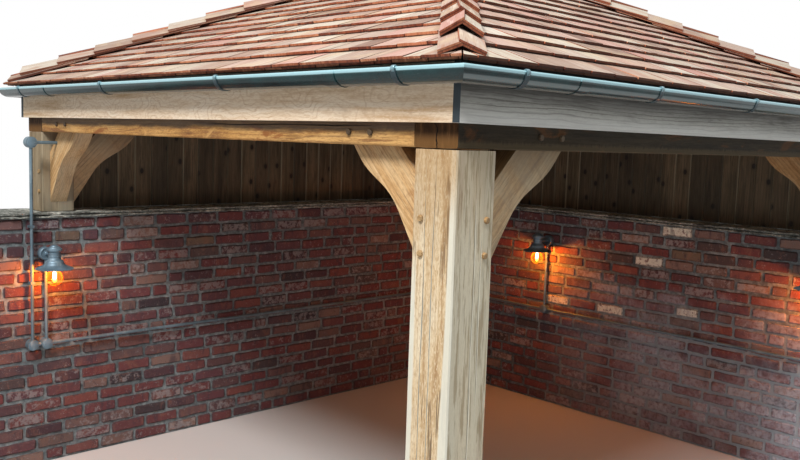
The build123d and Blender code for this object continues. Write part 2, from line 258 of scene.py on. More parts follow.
class Finish:
    """One material: a Principled shader and the nodes that feed it."""

    def __init__(self, name):
        self.material = bpy.data.materials.new(name)
        self.material.use_nodes = True
        self.tree = self.material.node_tree
        self.shader = self.tree.nodes["Principled BSDF"]
        self.place = self.node("ShaderNodeTexCoord", output="Object")
        self.grain = (0, 0, 1)

    def set(self, socket, value):
        """Links a signal to a socket, or writes a plain value or a colour like "#a39071" on it."""
        if isinstance(value, Signal):
            self.tree.links.new(value.socket, socket)
        else:
            socket.default_value = paint(value) if isinstance(value, str) else value

    def node(self, kind, settings=None, inputs=None, output=0):
        """Adds a node: its settings first, then the values or links of its sockets."""
        made = self.tree.nodes.new(kind)
        for key, value in (settings or {}).items():
            if key == "stops":
                while len(made.color_ramp.elements) < len(value):
                    made.color_ramp.elements.new(0.5)
                for element, (position, colour) in zip(made.color_ramp.elements, value):
                    element.position, element.color = position, paint(colour)
            else:
                setattr(made, key, value)
        for key, value in (inputs or {}).items():
            self.set(made.inputs[key], value)
        return Signal(self, made.outputs[output])

    def math(self, operation, *values):
        return self.node("ShaderNodeMath", {"operation": operation}, dict(enumerate(values)))

    def vector(self, operation, *values):
        return self.node("ShaderNodeVectorMath", {"operation": operation}, dict(enumerate(values)))

    def mix(self, factor, first, second, blend="MIX"):
        """Mixes two colours. Sockets 6 and 7 of a Mix node are its colours, and output 2 its result."""
        return self.node("ShaderNodeMix", {"data_type": "RGBA", "blend_type": blend},
                         {0: factor, 6: first, 7: second}, output=2)

    def stretch(self, size, grain=(0, 0, 1), place=None):
        """Object coordinates turned so that z follows the grain, then divided by size on each axis."""
        turn = Vector(grain).to_track_quat("Z", "Y").to_euler()
        return self.node("ShaderNodeMapping", {"vector_type": "TEXTURE"},
                         {"Vector": place or self.place, "Rotation": turn, "Scale": size})

    def noise(self, scale, detail=3.0, rough=0.5, distort=0.0, place=None):
        return self.node("ShaderNodeTexNoise", {}, {"Vector": place or self.place, "Scale": scale,
                                                    "Detail": detail, "Roughness": rough,
                                                    "Distortion": distort})

    def drawn(self, length, scale, detail=3.0, rough=0.5, distort=0.0, grain=None, place=None):
        """Noise drawn out to several times its length along the grain."""
        return self.noise(scale, detail, rough, distort,
                          self.stretch((1, 1, length), grain or self.grain, place))

    def span(self, value, low, high, out_low=0.0, out_high=1.0):
        """Smoothly maps low..high to out_low..out_high, and holds the ends."""
        return self.node("ShaderNodeMapRange", {"interpolation_type": "SMOOTHSTEP"}, {
            "Value": value, "From Min": low, "From Max": high, "To Min": out_low, "To Max": out_high})

    def ramp(self, value, *stops):
        return self.node("ShaderNodeValToRGB", {"stops": stops}, {"Fac": value})

    def xyz(self, x, y, z):
        return self.node("ShaderNodeCombineXYZ", {}, {0: x, 1: y, 2: z})

    def along(self, axis, place=None):
        """One coordinate of a vector, or else of the place on the object."""
        return self.node("ShaderNodeSeparateXYZ", {}, {0: place or self.place}, axis)

    def facing(self, axis):
        """How far the surface looks along an axis, from -1 to 1."""
        return self.along(axis, self.node("ShaderNodeNewGeometry", output="Normal"))

    def attribute(self, name):
        return self.node("ShaderNodeAttribute", {"attribute_name": name}, output="Fac")

    def bump(self, height, depth, strength=0.9):
        """Surface relief of about depth metres from a height between 0 and 1."""
        return self.node("ShaderNodeBump", {}, {"Height": height, "Distance": depth, "Strength": strength})

    def over(self, amount, colour, blend="MIX"):
        """Lays a colour over the Base Color as it is so far. The amount is its cover, from 0 to 1."""
        so_far = Signal(self, self.shader.inputs["Base Color"].links[0].from_socket)
        self.surface(base_color=self.mix(amount, so_far, colour, blend))

    def stain(self, value, low, high, amount, colour):
        """Lays a colour where a value passes from low to high."""
        self.over(self.span(value, low, high) * amount, colour)

    def surface(self, **sockets):
        """Feeds the Principled shader. A keyword's underscores stand for spaces."""
        for key, value in sockets.items():
            self.set(self.shader.inputs[key.replace("_", " ").title()], value)


print("shader helper ready")

# %% [markdown]
# ## Wood
#
# Every timber here is sawn wood that shows growth rings, fine pores and streaks, and they all run along
# the piece. The recipe is the same each time: noise squeezed hard along the grain. Slow noise
# makes the broad figure, fast noise makes the pores, and a steep step of a middle one makes the few
# dark streaks. The rings are a sine wave across the grain, which a slow noise bends into the long
# arches of a plain-sawn board. Fine drying cracks are the lines where a stretched noise passes its
# middle value. What changes is the direction of the grain, the colours and how weathered the wood is.

# %% the wood recipe
def wood(name, pale, middle, deep, grain=(0, 0, 1), weathered=None, grey=0.0, place_of=None,
         streaks=0.5, knots=0.0, rough=0.72, relief=0.0006, tone_from="", tone_size=0.35,
         rings=0.35, ring_pitch=480, bend=30, checks=0.4, ripple=0.0, ring_low=0.1, speckle=0.0):
    """Sawn wood with its grain along one direction; grey is how far weather has bleached it."""
    f = Finish(name)
    f.grain = grain
    place = place_of(f) if place_of else f.place
    long_space = f.stretch((1, 1, 14), grain, place)
    fine_space = f.stretch((1, 1, 40), grain, place)
    figure = f.noise(16, 4, 0.55, 0.9, long_space)
    bands = f.noise(55, 3, 0.6, 0.4, long_space)
    pores = f.noise(420, 2, 0.6, place=fine_space)
    patches = f.noise(3.1, place=place)
    wave = figure * 0.62 + bands * 0.28 + patches * 0.22
    f.surface(base_color=f.ramp(wave, (0.40, deep), (0.52, middle), (0.66, pale)))
    across = f.along("X", long_space) + f.along("Y", long_space) * 0.7
    bent = f.noise(5, place=long_space) * bend
    if ripple:
        bent += f.drawn(1.6, 7, 2, 0.45, place=place) * ripple
    arches = f.math("SINE", across * ring_pitch + bent)
    ring = f.span(arches, ring_low, 1.0) * f.span(patches, 0.35, 0.6, 0.5, 1.0)
    f.over(ring * rings, deep)
    streak = f.span(f.noise(30, 2, 0.5, 0.3, long_space), 0.62, 0.72) * streaks
    f.over(streak, deep)
    f.stain(pores, 0.50, 0.68, 0.30, deep)
    flecks = f.drawn(9, 125, 3, 0.6, place=place)
    f.stain(flecks, 0.56, 0.66, 0.45, deep)
    if speckle:
        dots = f.drawn(4, 210, 3, 0.65, place=place)
        f.stain(dots, 0.53, 0.64, speckle, deep)
        f.stain(dots, 0.47, 0.36, speckle, pale)
    gap = f.math("ABSOLUTE", f.drawn(26, 30, place=place) - 0.5)
    gap = f.span(gap, 0.045, 0.012) * f.span(f.drawn(3, 12, 2, place=place), 0.47, 0.58)
    f.over(gap * checks, darker(deep, 0.35))
    if knots:
        flat, rise = f.along("X", place) + f.along("Y", place), f.along("Z", place) * 0.7
        knot = f.node("ShaderNodeTexVoronoi", {"voronoi_dimensions": "2D"}, {
            "Vector": f.xyz(flat, rise, 0), "Scale": knots}, output="Distance")
        f.stain(knot, 0.15, 0.07, 0.5, deep)
        f.over(f.span(knot, 0.085, 0.05), darker(deep, 0.15))
    if weathered:
        amount = f.span(patches + bands * 0.5, 0.45, 1.05, grey * 0.55, grey)
        f.over(amount, weathered)
    if tone_from:
        value = f.span(f.attribute(tone_from), 0.0, 1.0, 1 - tone_size, 1 + tone_size)
        f.over(1.0, f.xyz(value, value, value), "MULTIPLY")
    height = pores * 0.5 + bands * 0.35 + figure * 0.15 - streak * 0.3 - flecks * 0.3
    f.surface(roughness=f.span(pores, 0.3, 0.7, rough - 0.1, rough + 0.12), normal=f.bump(height, relief))
    return f


print("wood recipe ready")

# %% [markdown]
# ## Posts and plates: green oak that has dried
#
# The posts and plates are 200 mm oak beams that were put up unseasoned. They dry where they stand, so
# long narrow shakes open along their faces, and their edges are no longer ruler-straight. A bump map
# can't cast the shadow of a 15 mm deep crack, so the beam is lofted: one outline of the section with
# a notch for each shake is extruded in short steps along the piece, and then each notch opens, closes
# and wanders with a slow noise.

# %% helpers that make and finish a piece
def new_piece(name, bm, finish, slot, *nodes):
    """Makes the mesh an object on the frame, which may stand for CAD nodes."""
    mesh = bpy.data.meshes.new(name)
    bm.to_mesh(mesh)
    bm.free()
    mesh.materials.append(finish.material)
    piece = bpy.data.objects.new(name, mesh)
    scene.collection.objects.link(piece)
    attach(piece, "root")
    if nodes:
        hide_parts(*nodes)
    print(name, len(mesh.polygons), "faces")
    return piece


def dress(name, finish):
    """Gives a CAD node a finish in place of its plain one."""
    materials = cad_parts[name].data.materials
    materials.clear()
    materials.append(finish.material)


def fill(bm, edges):
    """Closes the loop or loops that these edges make."""
    bmesh.ops.holes_fill(bm, edges=edges, sides=0)


def mesh_with(*numbers):
    """A new mesh whose vertices carry these numbers."""
    bm = bmesh.new()
    for number in numbers:
        bm.verts.layers.float.new(number)
    return bm


def block(bm, middle, size):
    """Adds a plain block to a mesh and gives back its eight corners."""
    return bmesh.ops.create_cube(bm, size=1, matrix=Matrix.Translation(middle)
                                 @ Matrix.Diagonal((*size, 1)))["verts"]


def steep(bm, rise):
    """The edges of a mesh that climb more than this rise."""
    return [e for e in bm.edges if abs((e.verts[0].co - e.verts[1].co).z) > rise]


def bevel(bm, edges, width):
    """Cuts a narrow flat along edges and gives back its faces."""
    return bmesh.ops.bevel(bm, geom=edges, affect="EDGES", offset=width, segments=1, profile=0.5,
                           material=-1)["faces"]


print("piece helpers ready")


# %% a beam with drying shakes
beam_edge = 0.005
beam_step = 0.045
shake_gap = 0.0036
shake_depth = 0.014
lip_mark = 0.002
closed_gap = 0.0003
face_point, arris_point = 4, 5
face_sink, arris_sink = 0.0008, 0.0022
slow_drift, quick_drift = 0.007, 0.0016


def beam_outline(wide, tall, shakes):
    """Points round a section, each with its shake's number and its part in it: lips -1 and 1, root 0.
    Points outside the shakes have the number 0."""
    corners = [Vector((0, 0)), Vector((wide, 0)), Vector((wide, tall)), Vector((0, tall))]
    outline = []
    for face in range(4):
        start, end = corners[face], corners[(face + 1) % 4]
        length = (end - start).length
        marks = [(beam_edge, 0, arris_point), (length - beam_edge, 0, arris_point)]
        marks += [(length * share, 0, face_point) for share in (0.2, 0.4, 0.6, 0.8)]
        for number, shake in enumerate(shakes, 1):
            if shake["face"] == face:
                place = length * shake["across"]
                marks += [(place + lip_mark * part, number, part) for part in (-1, 0, 1)]
        outline += [(start + (end - start) * (m[0] / length), m[1], m[2]) for m in sorted(marks)]
    return outline


def beam(low, high, axis, shakes, seed):
    """A sawn beam between two corners of the frame; its length runs along axis 0, 1 or 2."""
    order = ((axis + 1) % 3, (axis + 2) % 3, axis)
    size = [high[i] - low[i] for i in order]
    steps = round(size[2] / beam_step)
    bm = bmesh.new()
    number_layer = bm.verts.layers.int.new("number")
    part_layer = bm.verts.layers.int.new("part")
    dark_layer = bm.verts.layers.float.new("shake")
    ring = []
    for point, number, part in beam_outline(size[0], size[1], shakes):
        vertex = bm.verts.new((point.x, point.y, 0))
        vertex[number_layer], vertex[part_layer] = number, part
        ring.append(vertex)
    edges = [bm.edges.new((a, b)) for a, b in zip(ring, ring[1:] + ring[:1])]
    foot = list(edges)
    for _ in range(steps):
        made = bmesh.ops.extrude_edge_only(bm, edges=edges)["geom"]
        moved = {e for e in made if isinstance(e, bmesh.types.BMVert)}
        bmesh.ops.translate(bm, verts=list(moved), vec=(0, 0, size[2] / steps))
        edges = [e for e in made if isinstance(e, bmesh.types.BMEdge) and set(e.verts) <= moved]
    inward, across = (north, -east, -north, east), (east, north, -east, -north)
    middle = Vector((size[0] / 2, size[1] / 2, 0))
    for vertex in bm.verts:
        height, number, part = vertex.co.z, vertex[number_layer], vertex[part_layer]
        if number:
            shake = shakes[number - 1]
            start, end = shake["span"][0] * size[2], shake["span"][1] * size[2]
            way = (height - start) / (end - start)
            envelope = max(0.0, min(1.0, 6 * way, 6 * (1 - way)))
            opening = envelope * (0.5 + 0.8 * abs(noise.noise((height * 3.1, number, seed))))
            drift = slow_drift * noise.noise((height * 2.3, number + 9, seed))
            drift += quick_drift * noise.noise((height * 15, number, seed))
            half_gap = shake_gap * shake["wide"] * opening
            vertex.co += across[shake["face"]] * (drift + part * (half_gap - lip_mark + closed_gap))
            if part == 0:
                vertex.co += inward[shake["face"]] * shake_depth * opening
                # the root of an open shake is marked for painted shade
                vertex[dark_layer] = opening * 2.5
        else:
            waver = noise.noise((vertex.co.x * 9 + seed, vertex.co.y * 9, height * 2.5))
            sink = (face_sink if part == face_point else arris_sink) * (0.5 + 0.5 * waver)
            toward = middle - Vector((vertex.co.x, vertex.co.y, 0))
            vertex.co += toward.normalized() * sink
    fill(bm, foot)
    fill(bm, edges)
    bmesh.ops.recalc_face_normals(bm, faces=bm.faces)
    turn = Matrix([[1.0 if order[column] == row else 0.0 for column in range(3)] for row in range(3)])
    bmesh.ops.transform(bm, matrix=Matrix.Translation(low) @ turn.to_4x4(), verts=bm.verts)
    return bm


def shake(face, across, start, end, wide=1.0):
    return {"face": face, "across": across, "span": (start, end), "wide": wide}


# %% [markdown]
# ## Oak finishes
#
# New oak is a pale straw colour. The front of this gazebo takes the weather and has started to turn
# silver, while the left side, under its own eaves, has kept its warm colour. So one recipe is used with
# the grain turned along each beam, and the outward faces of the front are bleached by their normal.

# %% oak for beams
oak_grey = "#b5b19f"


def oak(name, grain, pale, middle, deep, grey=0.35, place_of=None, stain=0.0, crack_shade="#1c130c", **more):
    """Frame oak, with painted shade in its shakes, brown stains and silvered front faces."""
    f = wood(name, pale, middle, deep, grain, oak_grey, grey * 0.3, place_of, **more)
    weather = f.span(f.drawn(8, 9, 4, 0.6), 0.35, 0.65, 0.55, 1.0)
    if stain:
        blot = f.drawn(3, 9, 5, 0.65, 1.2)
        f.over(f.span(blot, 0.54, 0.66) * stain, "#8a5323")
        f.over(f.span(blot, 0.40, 0.30) * stain * 0.6, pale)
    f.over(f.span(f.facing("Y"), -0.2, -0.9) * weather * grey * 1.6, oak_grey)
    broken = f.span(f.drawn(5, 26), 0.40, 0.52, 0.45, 1.0)
    # painted shade in the shakes, broken up along the grain
    f.over(f.attribute("shake") * broken * 0.9, crack_shade)
    return f


# The three short posts get darker, greyer oak, a painted shade for the eaves above them.
shaded_upright_oak = oak("shaded_upright_oak", (0, 0, 1), "#a39071", "#867354", "#5f472e")
# The front plate's colours are darkened, a painted shade for the fascia and gutter above it.
plate = oak("shaded_front_plate_oak", (1, 0, 0), "#342b1e", "#272017", "#16100b", 0.02, streaks=0.7, stain=0.25,
            speckle=0.3)
side_plate = oak("side_plate_oak", (0, 1, 0), "#d6a968", "#b98847", "#74461f", 0.05, streaks=0.8,
                 stain=0.95, speckle=0.4)

# %% painted shade under the fascia along the top of the side plates
ragged = (side_plate.drawn(5, 22, 4, 0.6) - 0.5) * 0.05
# a ragged band of painted shade where the fascia overhangs the plate
eaves_shade = side_plate.span(side_plate.along("Z") - underside + ragged, 0.036, 0.062)
side_plate.over(eaves_shade * 0.85, "#3c3128")

# %% the end of the front plate: end grain darkened by painted shade, a painted lit patch at its foot, and a painted crack
west = plate.span(plate.facing("X"), -0.5, -0.9)
depth = plate.along("Y") - (front + 0.090)
rise = plate.along("Z") - underside
zigzag = (plate.noise(24, 2) - 0.5) * 0.05
crack_shade = plate.span(plate.math("ABSOLUTE", depth - rise * 0.16 + zigzag), 0.0048, 0.0022)
rays = plate.drawn(4, 60, 4, 0.6, grain=(0, 0, 1))
# dark end grain, made darker still as painted shade
end_grain_shade_and_light = plate.ramp(rays, (0.35, "#2d1d10"), (0.55, "#46301d"), (0.7, "#64482c"))
# a painted patch of light at the foot of the end
end_grain_shade_and_light = plate.mix(plate.span(rise + rays * 0.03, 0.075, 0.030) * 0.5, end_grain_shade_and_light, "#8a6338")
# painted light along the plate's lower edge, below the shade of the eaves
lit_lower_edge = plate.span(rise + (rays - 0.5) * 0.03, 0.034, 0.016)
plate.over(lit_lower_edge * 0.75, "#574c3a")
plate.over(west, end_grain_shade_and_light)
# the crack is painted as a dark line of shade
plate.over(crack_shade * west, "#0e0804")
plate.shader.inputs["Specular IOR Level"].default_value = 0.12

# %% the near post, with a stripe of sapwood along its edges
near = oak("near_post_oak", (0, 0, 1), "#efe0c2", "#dfc49a", "#a67e4e", 0.5, crack_shade="#553719", rings=0.30,
           ring_pitch=620, bend=22, streaks=0.5, checks=0.9, speckle=0.6)
position, rise, side_place = near.along("Y") - front, near.along("Z"), near.along("X") - left
wander = (near.drawn(6, 7) - 0.5) * 0.030
strip = near.span(position + wander - (1.75 - rise) * 0.016, 0.032, 0.024) * near.span(rise, 2.0, 1.75)
far_strip = near.span(post_size - position + wander, 0.030, 0.020) * near.span(rise, 1.72, 1.50)
west = near.span(near.facing("X"), -0.5, -0.9)
# the top of the post gets browner, partly a real stain and partly painted shade from the eaves
top_stain_and_shade = near.span(rise + (near.drawn(5, 14, 4) - 0.5) * 0.9, 1.55, 2.05)
near.over(top_stain_and_shade * (0.60 - west * 0.15), "#96703f")
drips = near.drawn(9, 34, 3, 0.6)
run_off = near.span(near.math("ABSOLUTE", side_place - 0.026 + wander * 0.6), 0.016, 0.006)
run_off *= near.span(rise + drips * 0.3, 1.93, 2.05) * near.span(drips, 0.38, 0.58, 0.35, 1.0)
run_off = near.math("MAXIMUM", run_off, near.span(drips, 0.58, 0.68) * near.span(side_place, 0.09, 0.19))
near.over(run_off * (1 - west) * 0.75, "#7d4a22")
mossy = near.span(near.drawn(20, 88, 4, 0.7), 0.51, 0.58)
near.over((1 - west) * 0.40, "#e4dfc8")
near.over(mossy * (1 - west) * 0.55, "#836c45")
bluish = near.span(side_place, 0.009, 0.004) * near.span(rise, 1.9, 1.6) * (1 - west)
near.over(bluish * 0.6, "#b9c6c8")
near.over(near.math("MAXIMUM", strip, far_strip) * west * 0.85, "#e0e0d2")

joint_line = 0.004
near_shakes = [shake(3, 0.31, 0.02, 1.0, 0.6), shake(3, 0.52, 0.35, 1.0, 0.75),
               shake(0, 0.52, 0.15, 0.97, 1.5), shake(0, 0.70, 0.55, 0.86, 1.4),
               shake(1, 0.4, 0.1, 0.8), shake(2, 0.55, 0.3, 0.95)]
post_low, post_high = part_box("front_left_post")
new_piece("near_post_beam", beam(post_low, post_high - up * joint_line, 2, near_shakes, 3), near,
          "oak_frame", "front_left_post")
short_shakes = [shake(0, 0.45, 0.0, 0.9), shake(3, 0.6, 0.1, 1.0), shake(1, 0.35, 0.2, 1.0),
                shake(2, 0.5, 0.0, 0.8)]
for number, corner in enumerate(("front_right", "back_left", "back_right")):
    new_piece(f"{corner}_post_beam", beam(*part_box(f"{corner}_post"), 2, short_shakes, 11 + number),
              shaded_upright_oak, "oak_frame", f"{corner}_post")

# %% the plates
plate_shakes = [shake(0, 0.35, 0.05, 0.45), shake(0, 0.7, 0.55, 0.95), shake(1, 0.5, 0.2, 0.7),
                shake(2, 0.4, 0.1, 0.6), shake(3, 0.55, 0.3, 0.9)]
for number, name in enumerate(sides):
    axis = 0 if name in ("front", "back") else 1
    finish = plate if axis == 0 else side_plate
    low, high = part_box(f"{name}_plate")
    low[axis] += joint_line if axis else 0
    high[axis] -= joint_line if axis else 0
    new_piece(f"{name}_plate_beam", beam(low, high, axis, plate_shakes, 21 + number), finish,
              "oak_frame", f"{name}_plate")

# %% [markdown]
# ## Braces and pegs
#
# The swan-neck braces are right as CAD solids, so they keep their mesh. Their grain runs from the post
# up to the plate, so it leans opposite ways at the two ends of a side. Folding the coordinate with an
# absolute value round the middle of the side lets one diagonal grain serve both braces.
#
# Oak pegs hold the braces' tenons. They are whittled, eight-sided and left standing out of the face.

# %% braces
def folded_place(f):
    """Object coordinates folded round the gazebo's middle, so that both ends of a side match."""
    return f.vector("ABSOLUTE", f.vector("SUBTRACT", f.place, tuple(centre)))


for name, side in sides.items():
    grain = tuple(Vector((-abs(side.along.x), -abs(side.along.y), 1.0)).normalized())
    f = oak(f"{name}_brace_oak", grain, "#e6c594", "#cfa268", "#946636", 0.3, folded_place,
            streaks=0.5, stain=0.25, speckle=0.35)
    shaded = f.span(f.along("Z"), underside - 0.16, underside + 0.02)
    f.over(shaded * (0.5 if side.out.y else 0.2), "#4f4130")
    dress(f"{name}_braces", f)
print("braces finished")

# %% pegs
peg_radius = 0.0135
peg_proud = 0.009
post_peg_in = 0.043
post_peg_drops = (0.240, 0.362)
front_peg_runs, side_peg_runs = (0.240, 0.368), (0.226, 0.347)
plate_peg_rise = 0.048
peg = oak("peg_oak", (0, 1, 0.2), "#c9a878", "#a27d4c", "#61431f", 0.1)
# pegs in the plates are darkened, a painted shade under the eaves
shaded_on_plate = peg.span(peg.along("Z"), underside - 0.01, underside + 0.02) * 0.88
peg.over(shaded_on_plate, "#30241a")
rng = random.Random(5)
bm = bmesh.new()
for side in sides.values():
    runs = front_peg_runs if side.out.y else side_peg_runs
    for hand in (-1, 1):
        inner = hand * (side.half_along - post_size)
        spots = [(inner + hand * post_peg_in, underside - drop) for drop in post_peg_drops]
        spots += [(inner - hand * run, underside + plate_peg_rise) for run in runs]
        for along, height in spots:
            for face, outward in ((0, side.out), (-post_size, -side.out)):
                spot = side.upright(along + rng.uniform(-0.003, 0.003), face, height)
                turn = outward.to_track_quat("Z", "Y").to_matrix().to_4x4()
                turn = turn @ Matrix.Rotation(rng.uniform(0, 0.8), 4, "Z")
                turn = turn @ Matrix.Rotation(rng.uniform(-0.12, 0.12), 4, "X")
                made = bmesh.ops.create_cone(
                    bm, cap_ends=True, segments=8, radius1=peg_radius, radius2=peg_radius * 0.86,
                    depth=0.03, matrix=Matrix.Translation(spot + outward * (peg_proud - 0.015)) @ turn)
                tip = dict.fromkeys(e for v in made["verts"] for e in v.link_edges if all(
                    (w.co - spot).dot(outward) > peg_proud * 0.4 for w in e.verts))
                bevel(bm, list(tip), 0.0018)
new_piece("oak_pegs", bm, peg, "oak_frame")

# %% [markdown]
# ## The brick walls
#
# The walls are old bricks laid again in wide grey mortar. A brick texture would be flat, and its joints
# would not catch light, so every brick is a small block of its own, set a little proud or
# back, on a mortar core. All bricks of a wall are made as plain blocks first and then bevelled in a
# single call, which is far quicker than a thousand small calls. Each brick carries two random
# numbers as vertex attributes, which its finish turns into its colour and its coat of old lime.

# %% laying bricks
course = 0.080
courses = round(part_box("back_wall")[1].z / course)
joint = 0.014
brick_length, brick_depth, half_brick = 0.225, 0.105, 0.104
brick_round, brick_wave, brick_chip = 0.0090, 0.0045, 0.0022
mortar_recess = 0.0095
plain_tones = 0.945
rng = random.Random(41)


def lay_course(start, end):
    """Brick lengths along one course, as (from, to) pairs with a joint between them."""
    pieces, place = [], start
    while place < end - 0.03:
        length = rng.choices((brick_length, half_brick, 0.162, 0.212), (64, 17, 9, 10))[0]
        if place == start and rng.random() < 0.3:
            length = half_brick
        stop = place + length + rng.uniform(-0.005, 0.005)
        if end - stop < 0.075:
            stop = end
        pieces.append((place, stop))
        place = stop + joint
    return pieces


def lay_face(bm, corner, along, out, length, starts, ends, special=()):
    """Bricks of one face of a wall. starts and ends say how each end meets its neighbour:
    'butt', 'even' where this face has the corner brick in even courses, or 'odd'."""
    tone, lime = bm.verts.layers.float["tone"], bm.verts.layers.float["lime"]
    for row in range(courses):
        parity = ("even", "odd")[row % 2]
        low = 0.0 if starts in ("butt", parity) else brick_depth + joint
        high = length if ends in ("butt", parity) else length - brick_depth - joint
        for a, b in lay_course(low, high):
            height = (row + 0.5) * course + rng.uniform(-0.002, 0.002)
            proud = rng.uniform(-0.0030, 0.0)
            middle = corner + along * ((a + b) / 2) + out * (proud - brick_depth / 2) + up * height
            hand = math.copysign(1, along.cross(out).z)
            turn = Matrix((along * hand, out, up)).transposed().to_4x4() @ Matrix.Rotation(
                rng.gauss(0, 0.005), 4, "Z") @ Matrix.Rotation(rng.gauss(0, 0.009), 4, "Y")
            scale = Matrix.Diagonal((b - a + rng.uniform(-0.005, 0.003), brick_depth,
                                     course - joint + rng.uniform(-0.005, 0.004), 1))
            made = bmesh.ops.create_cube(bm, size=1, matrix=Matrix.Translation(middle) @ turn @ scale)
            shade, coat = rng.random() * plain_tones, rng.random()
            for (run, rise), look in special:
                if abs(run - (a + b) / 2) < (b - a + joint) / 2 and abs(rise - height) < course / 2:
                    shade, coat = look
            for vertex in made["verts"]:
                vertex[tone], vertex[lime] = shade, coat


def wear_bricks(bm):
    """Rounds and chips every brick at once, and marks the rounded rims."""
    rim = bm.faces.layers.float["rim"]
    for face in bevel(bm, bm.edges, brick_round):
        face[rim] = 1.0
    long_edges = [e for e in bm.edges if e.calc_length() > 0.12]
    bmesh.ops.subdivide_edges(bm, edges=long_edges, cuts=3, use_grid_fill=True)
    for vertex in bm.verts:
        vertex.co += Vector(noise.noise_vector(vertex.co * 24)) * brick_wave
        vertex.co += Vector(noise.noise_vector(vertex.co * 70)) * brick_chip


def mortar_core(low, high):
    """The wall behind the bricks, a little lower than their faces and uneven."""
    bm = bmesh.new()
    block(bm, (low + high) / 2, high - low - 2 * Vector((mortar_recess, mortar_recess, 0)))
    bmesh.ops.subdivide_edges(bm, edges=bm.edges, cuts=30, use_grid_fill=True)
    for vertex in bm.verts:
        shift = noise.noise(vertex.co * 9) * 0.0015
        if low.z < vertex.co.z < high.z:
            vertex.co += Vector((vertex.co.x - (low.x + high.x) / 2,
                                 vertex.co.y - (low.y + high.y) / 2, 0)).normalized() * shift
    return bm


# %% [markdown]
# ## Brick and mortar finishes
#
# Old bricks differ far more from each other than within one brick. The tone attribute walks through a
# ramp of plum, red, salmon, brown and almost black, and the last few steps are the bricks that still
# wear cream paint. Noise mottles each face, and lime from the old mortar clings in patches.

# %% brick finish
brick = Finish("old_brick")
tone, lime = brick.attribute("tone"), brick.attribute("lime")
mottle = brick.noise(34, 5, 0.62, 0.4)
grit = brick.noise(310, 3, 0.65)
slow = brick.noise(2.2)
bands = brick.drawn(2.2, 16, 5, 0.65, 0.6)
patch = brick.noise(33, 6, 0.72, 0.25)
coat = brick.span(patch + brick.span(lime, 0.55, 1.0, -0.05, 0.13), 0.55, 0.66)
body = brick.ramp(tone, (0.00, "#493238"), (0.12, "#6f4244"), (0.30, "#7b3f3e"), (0.46, "#64434b"),
                  (0.60, "#874b43"), (0.70, "#7b5a57"), (0.80, "#55393f"), (0.87, "#94796f"),
                  (0.94, "#2f2830"), (0.965, "#9a8069"), (0.982, "#f2f1e4"))
brick.surface(base_color=body, roughness=brick.span(mottle, 0.3, 0.7, 0.78, 0.95),
              normal=brick.bump(grit * 0.4 + mottle * 0.8 + coat * 0.35, 0.0035))
brick.stain(bands, 0.46, 0.34, 0.60, "#453540")
brick.stain(bands, 0.54, 0.66, 0.35, "#a0705c")
brick.stain(mottle, 0.42, 0.30, 0.55, "#40292c")
brick.stain(mottle, 0.58, 0.72, 0.4, "#a08078")
brick.over(coat * 0.60, "#aba6a8")
brick.over(brick.span(tone, 0.970, 0.976) * brick.span(patch, 0.46, 0.40) * 0.8, "#6b3f3a")
brick.over(brick.attribute("rim") * brick.span(mottle, 0.35, 0.6, 0.75, 0.35), "#3b3030")
open_end = brick.span(brick.along("Y"), 0.6, -0.6)
# paler bloom low down towards the open end, partly weathering and partly painted light from the open side
bloom_and_daylight = brick.span(slow + (0.85 - brick.along("Z")) * 0.20, 0.44, 0.62) * open_end
bloom_and_daylight *= brick.span(lime, 0.0, 0.7, 0.45, 1.0)
brick.over(bloom_and_daylight * brick.span(mottle, 0.30, 0.62, 0.25, 0.9), "#b5b7c3")
brick.over((1 - open_end) * brick.span(brick.along("X"), 2.2, 0.6) * 0.24, "#251c2a")
brick.stain(grit, 0.55, 0.75, 0.30, "#332426")
flecks = brick.span(brick.drawn(0.6, 150, 3, 0.7), 0.62, 0.68)
brick.over(flecks * brick.span(patch, 0.48, 0.60) * 0.75, "#d3cfcf")

# %% mortar finish
mortar = Finish("lime_mortar")
sand = mortar.noise(420, 3, 0.7)
trowel = mortar.noise(26, 4, 0.6)
stain = mortar.noise(2.4)
body = mortar.ramp(trowel * 0.7 + stain * 0.4, (0.40, "#4d5559"), (0.55, "#6f787c"), (0.70, "#98a1a4"))
mortar.surface(base_color=body, roughness=0.93, normal=mortar.bump(sand * 0.5 + trowel, 0.004))
mortar.stain(sand, 0.50, 0.68, 0.35, "#4e5459")
# paler mortar low down towards the open end, partly weathering and partly painted light from the open side
foot = mortar.span(mortar.along("Z"), 1.1, 0.6) * mortar.span(mortar.along("Y"), 0.6, -0.6)
mortar.over(foot * 0.7, "#aeb5be")

# %% [markdown]
# ## Which face gets which corner
#
# Walking round the L-shaped wall, each outer corner is shared by two faces. One face keeps the corner
# brick in even courses and the other in odd ones, so the bond turns the corner as a mason would lay it.
# A few bricks in sight of the camera are given their own colours, such as the ones still
# painted cream.

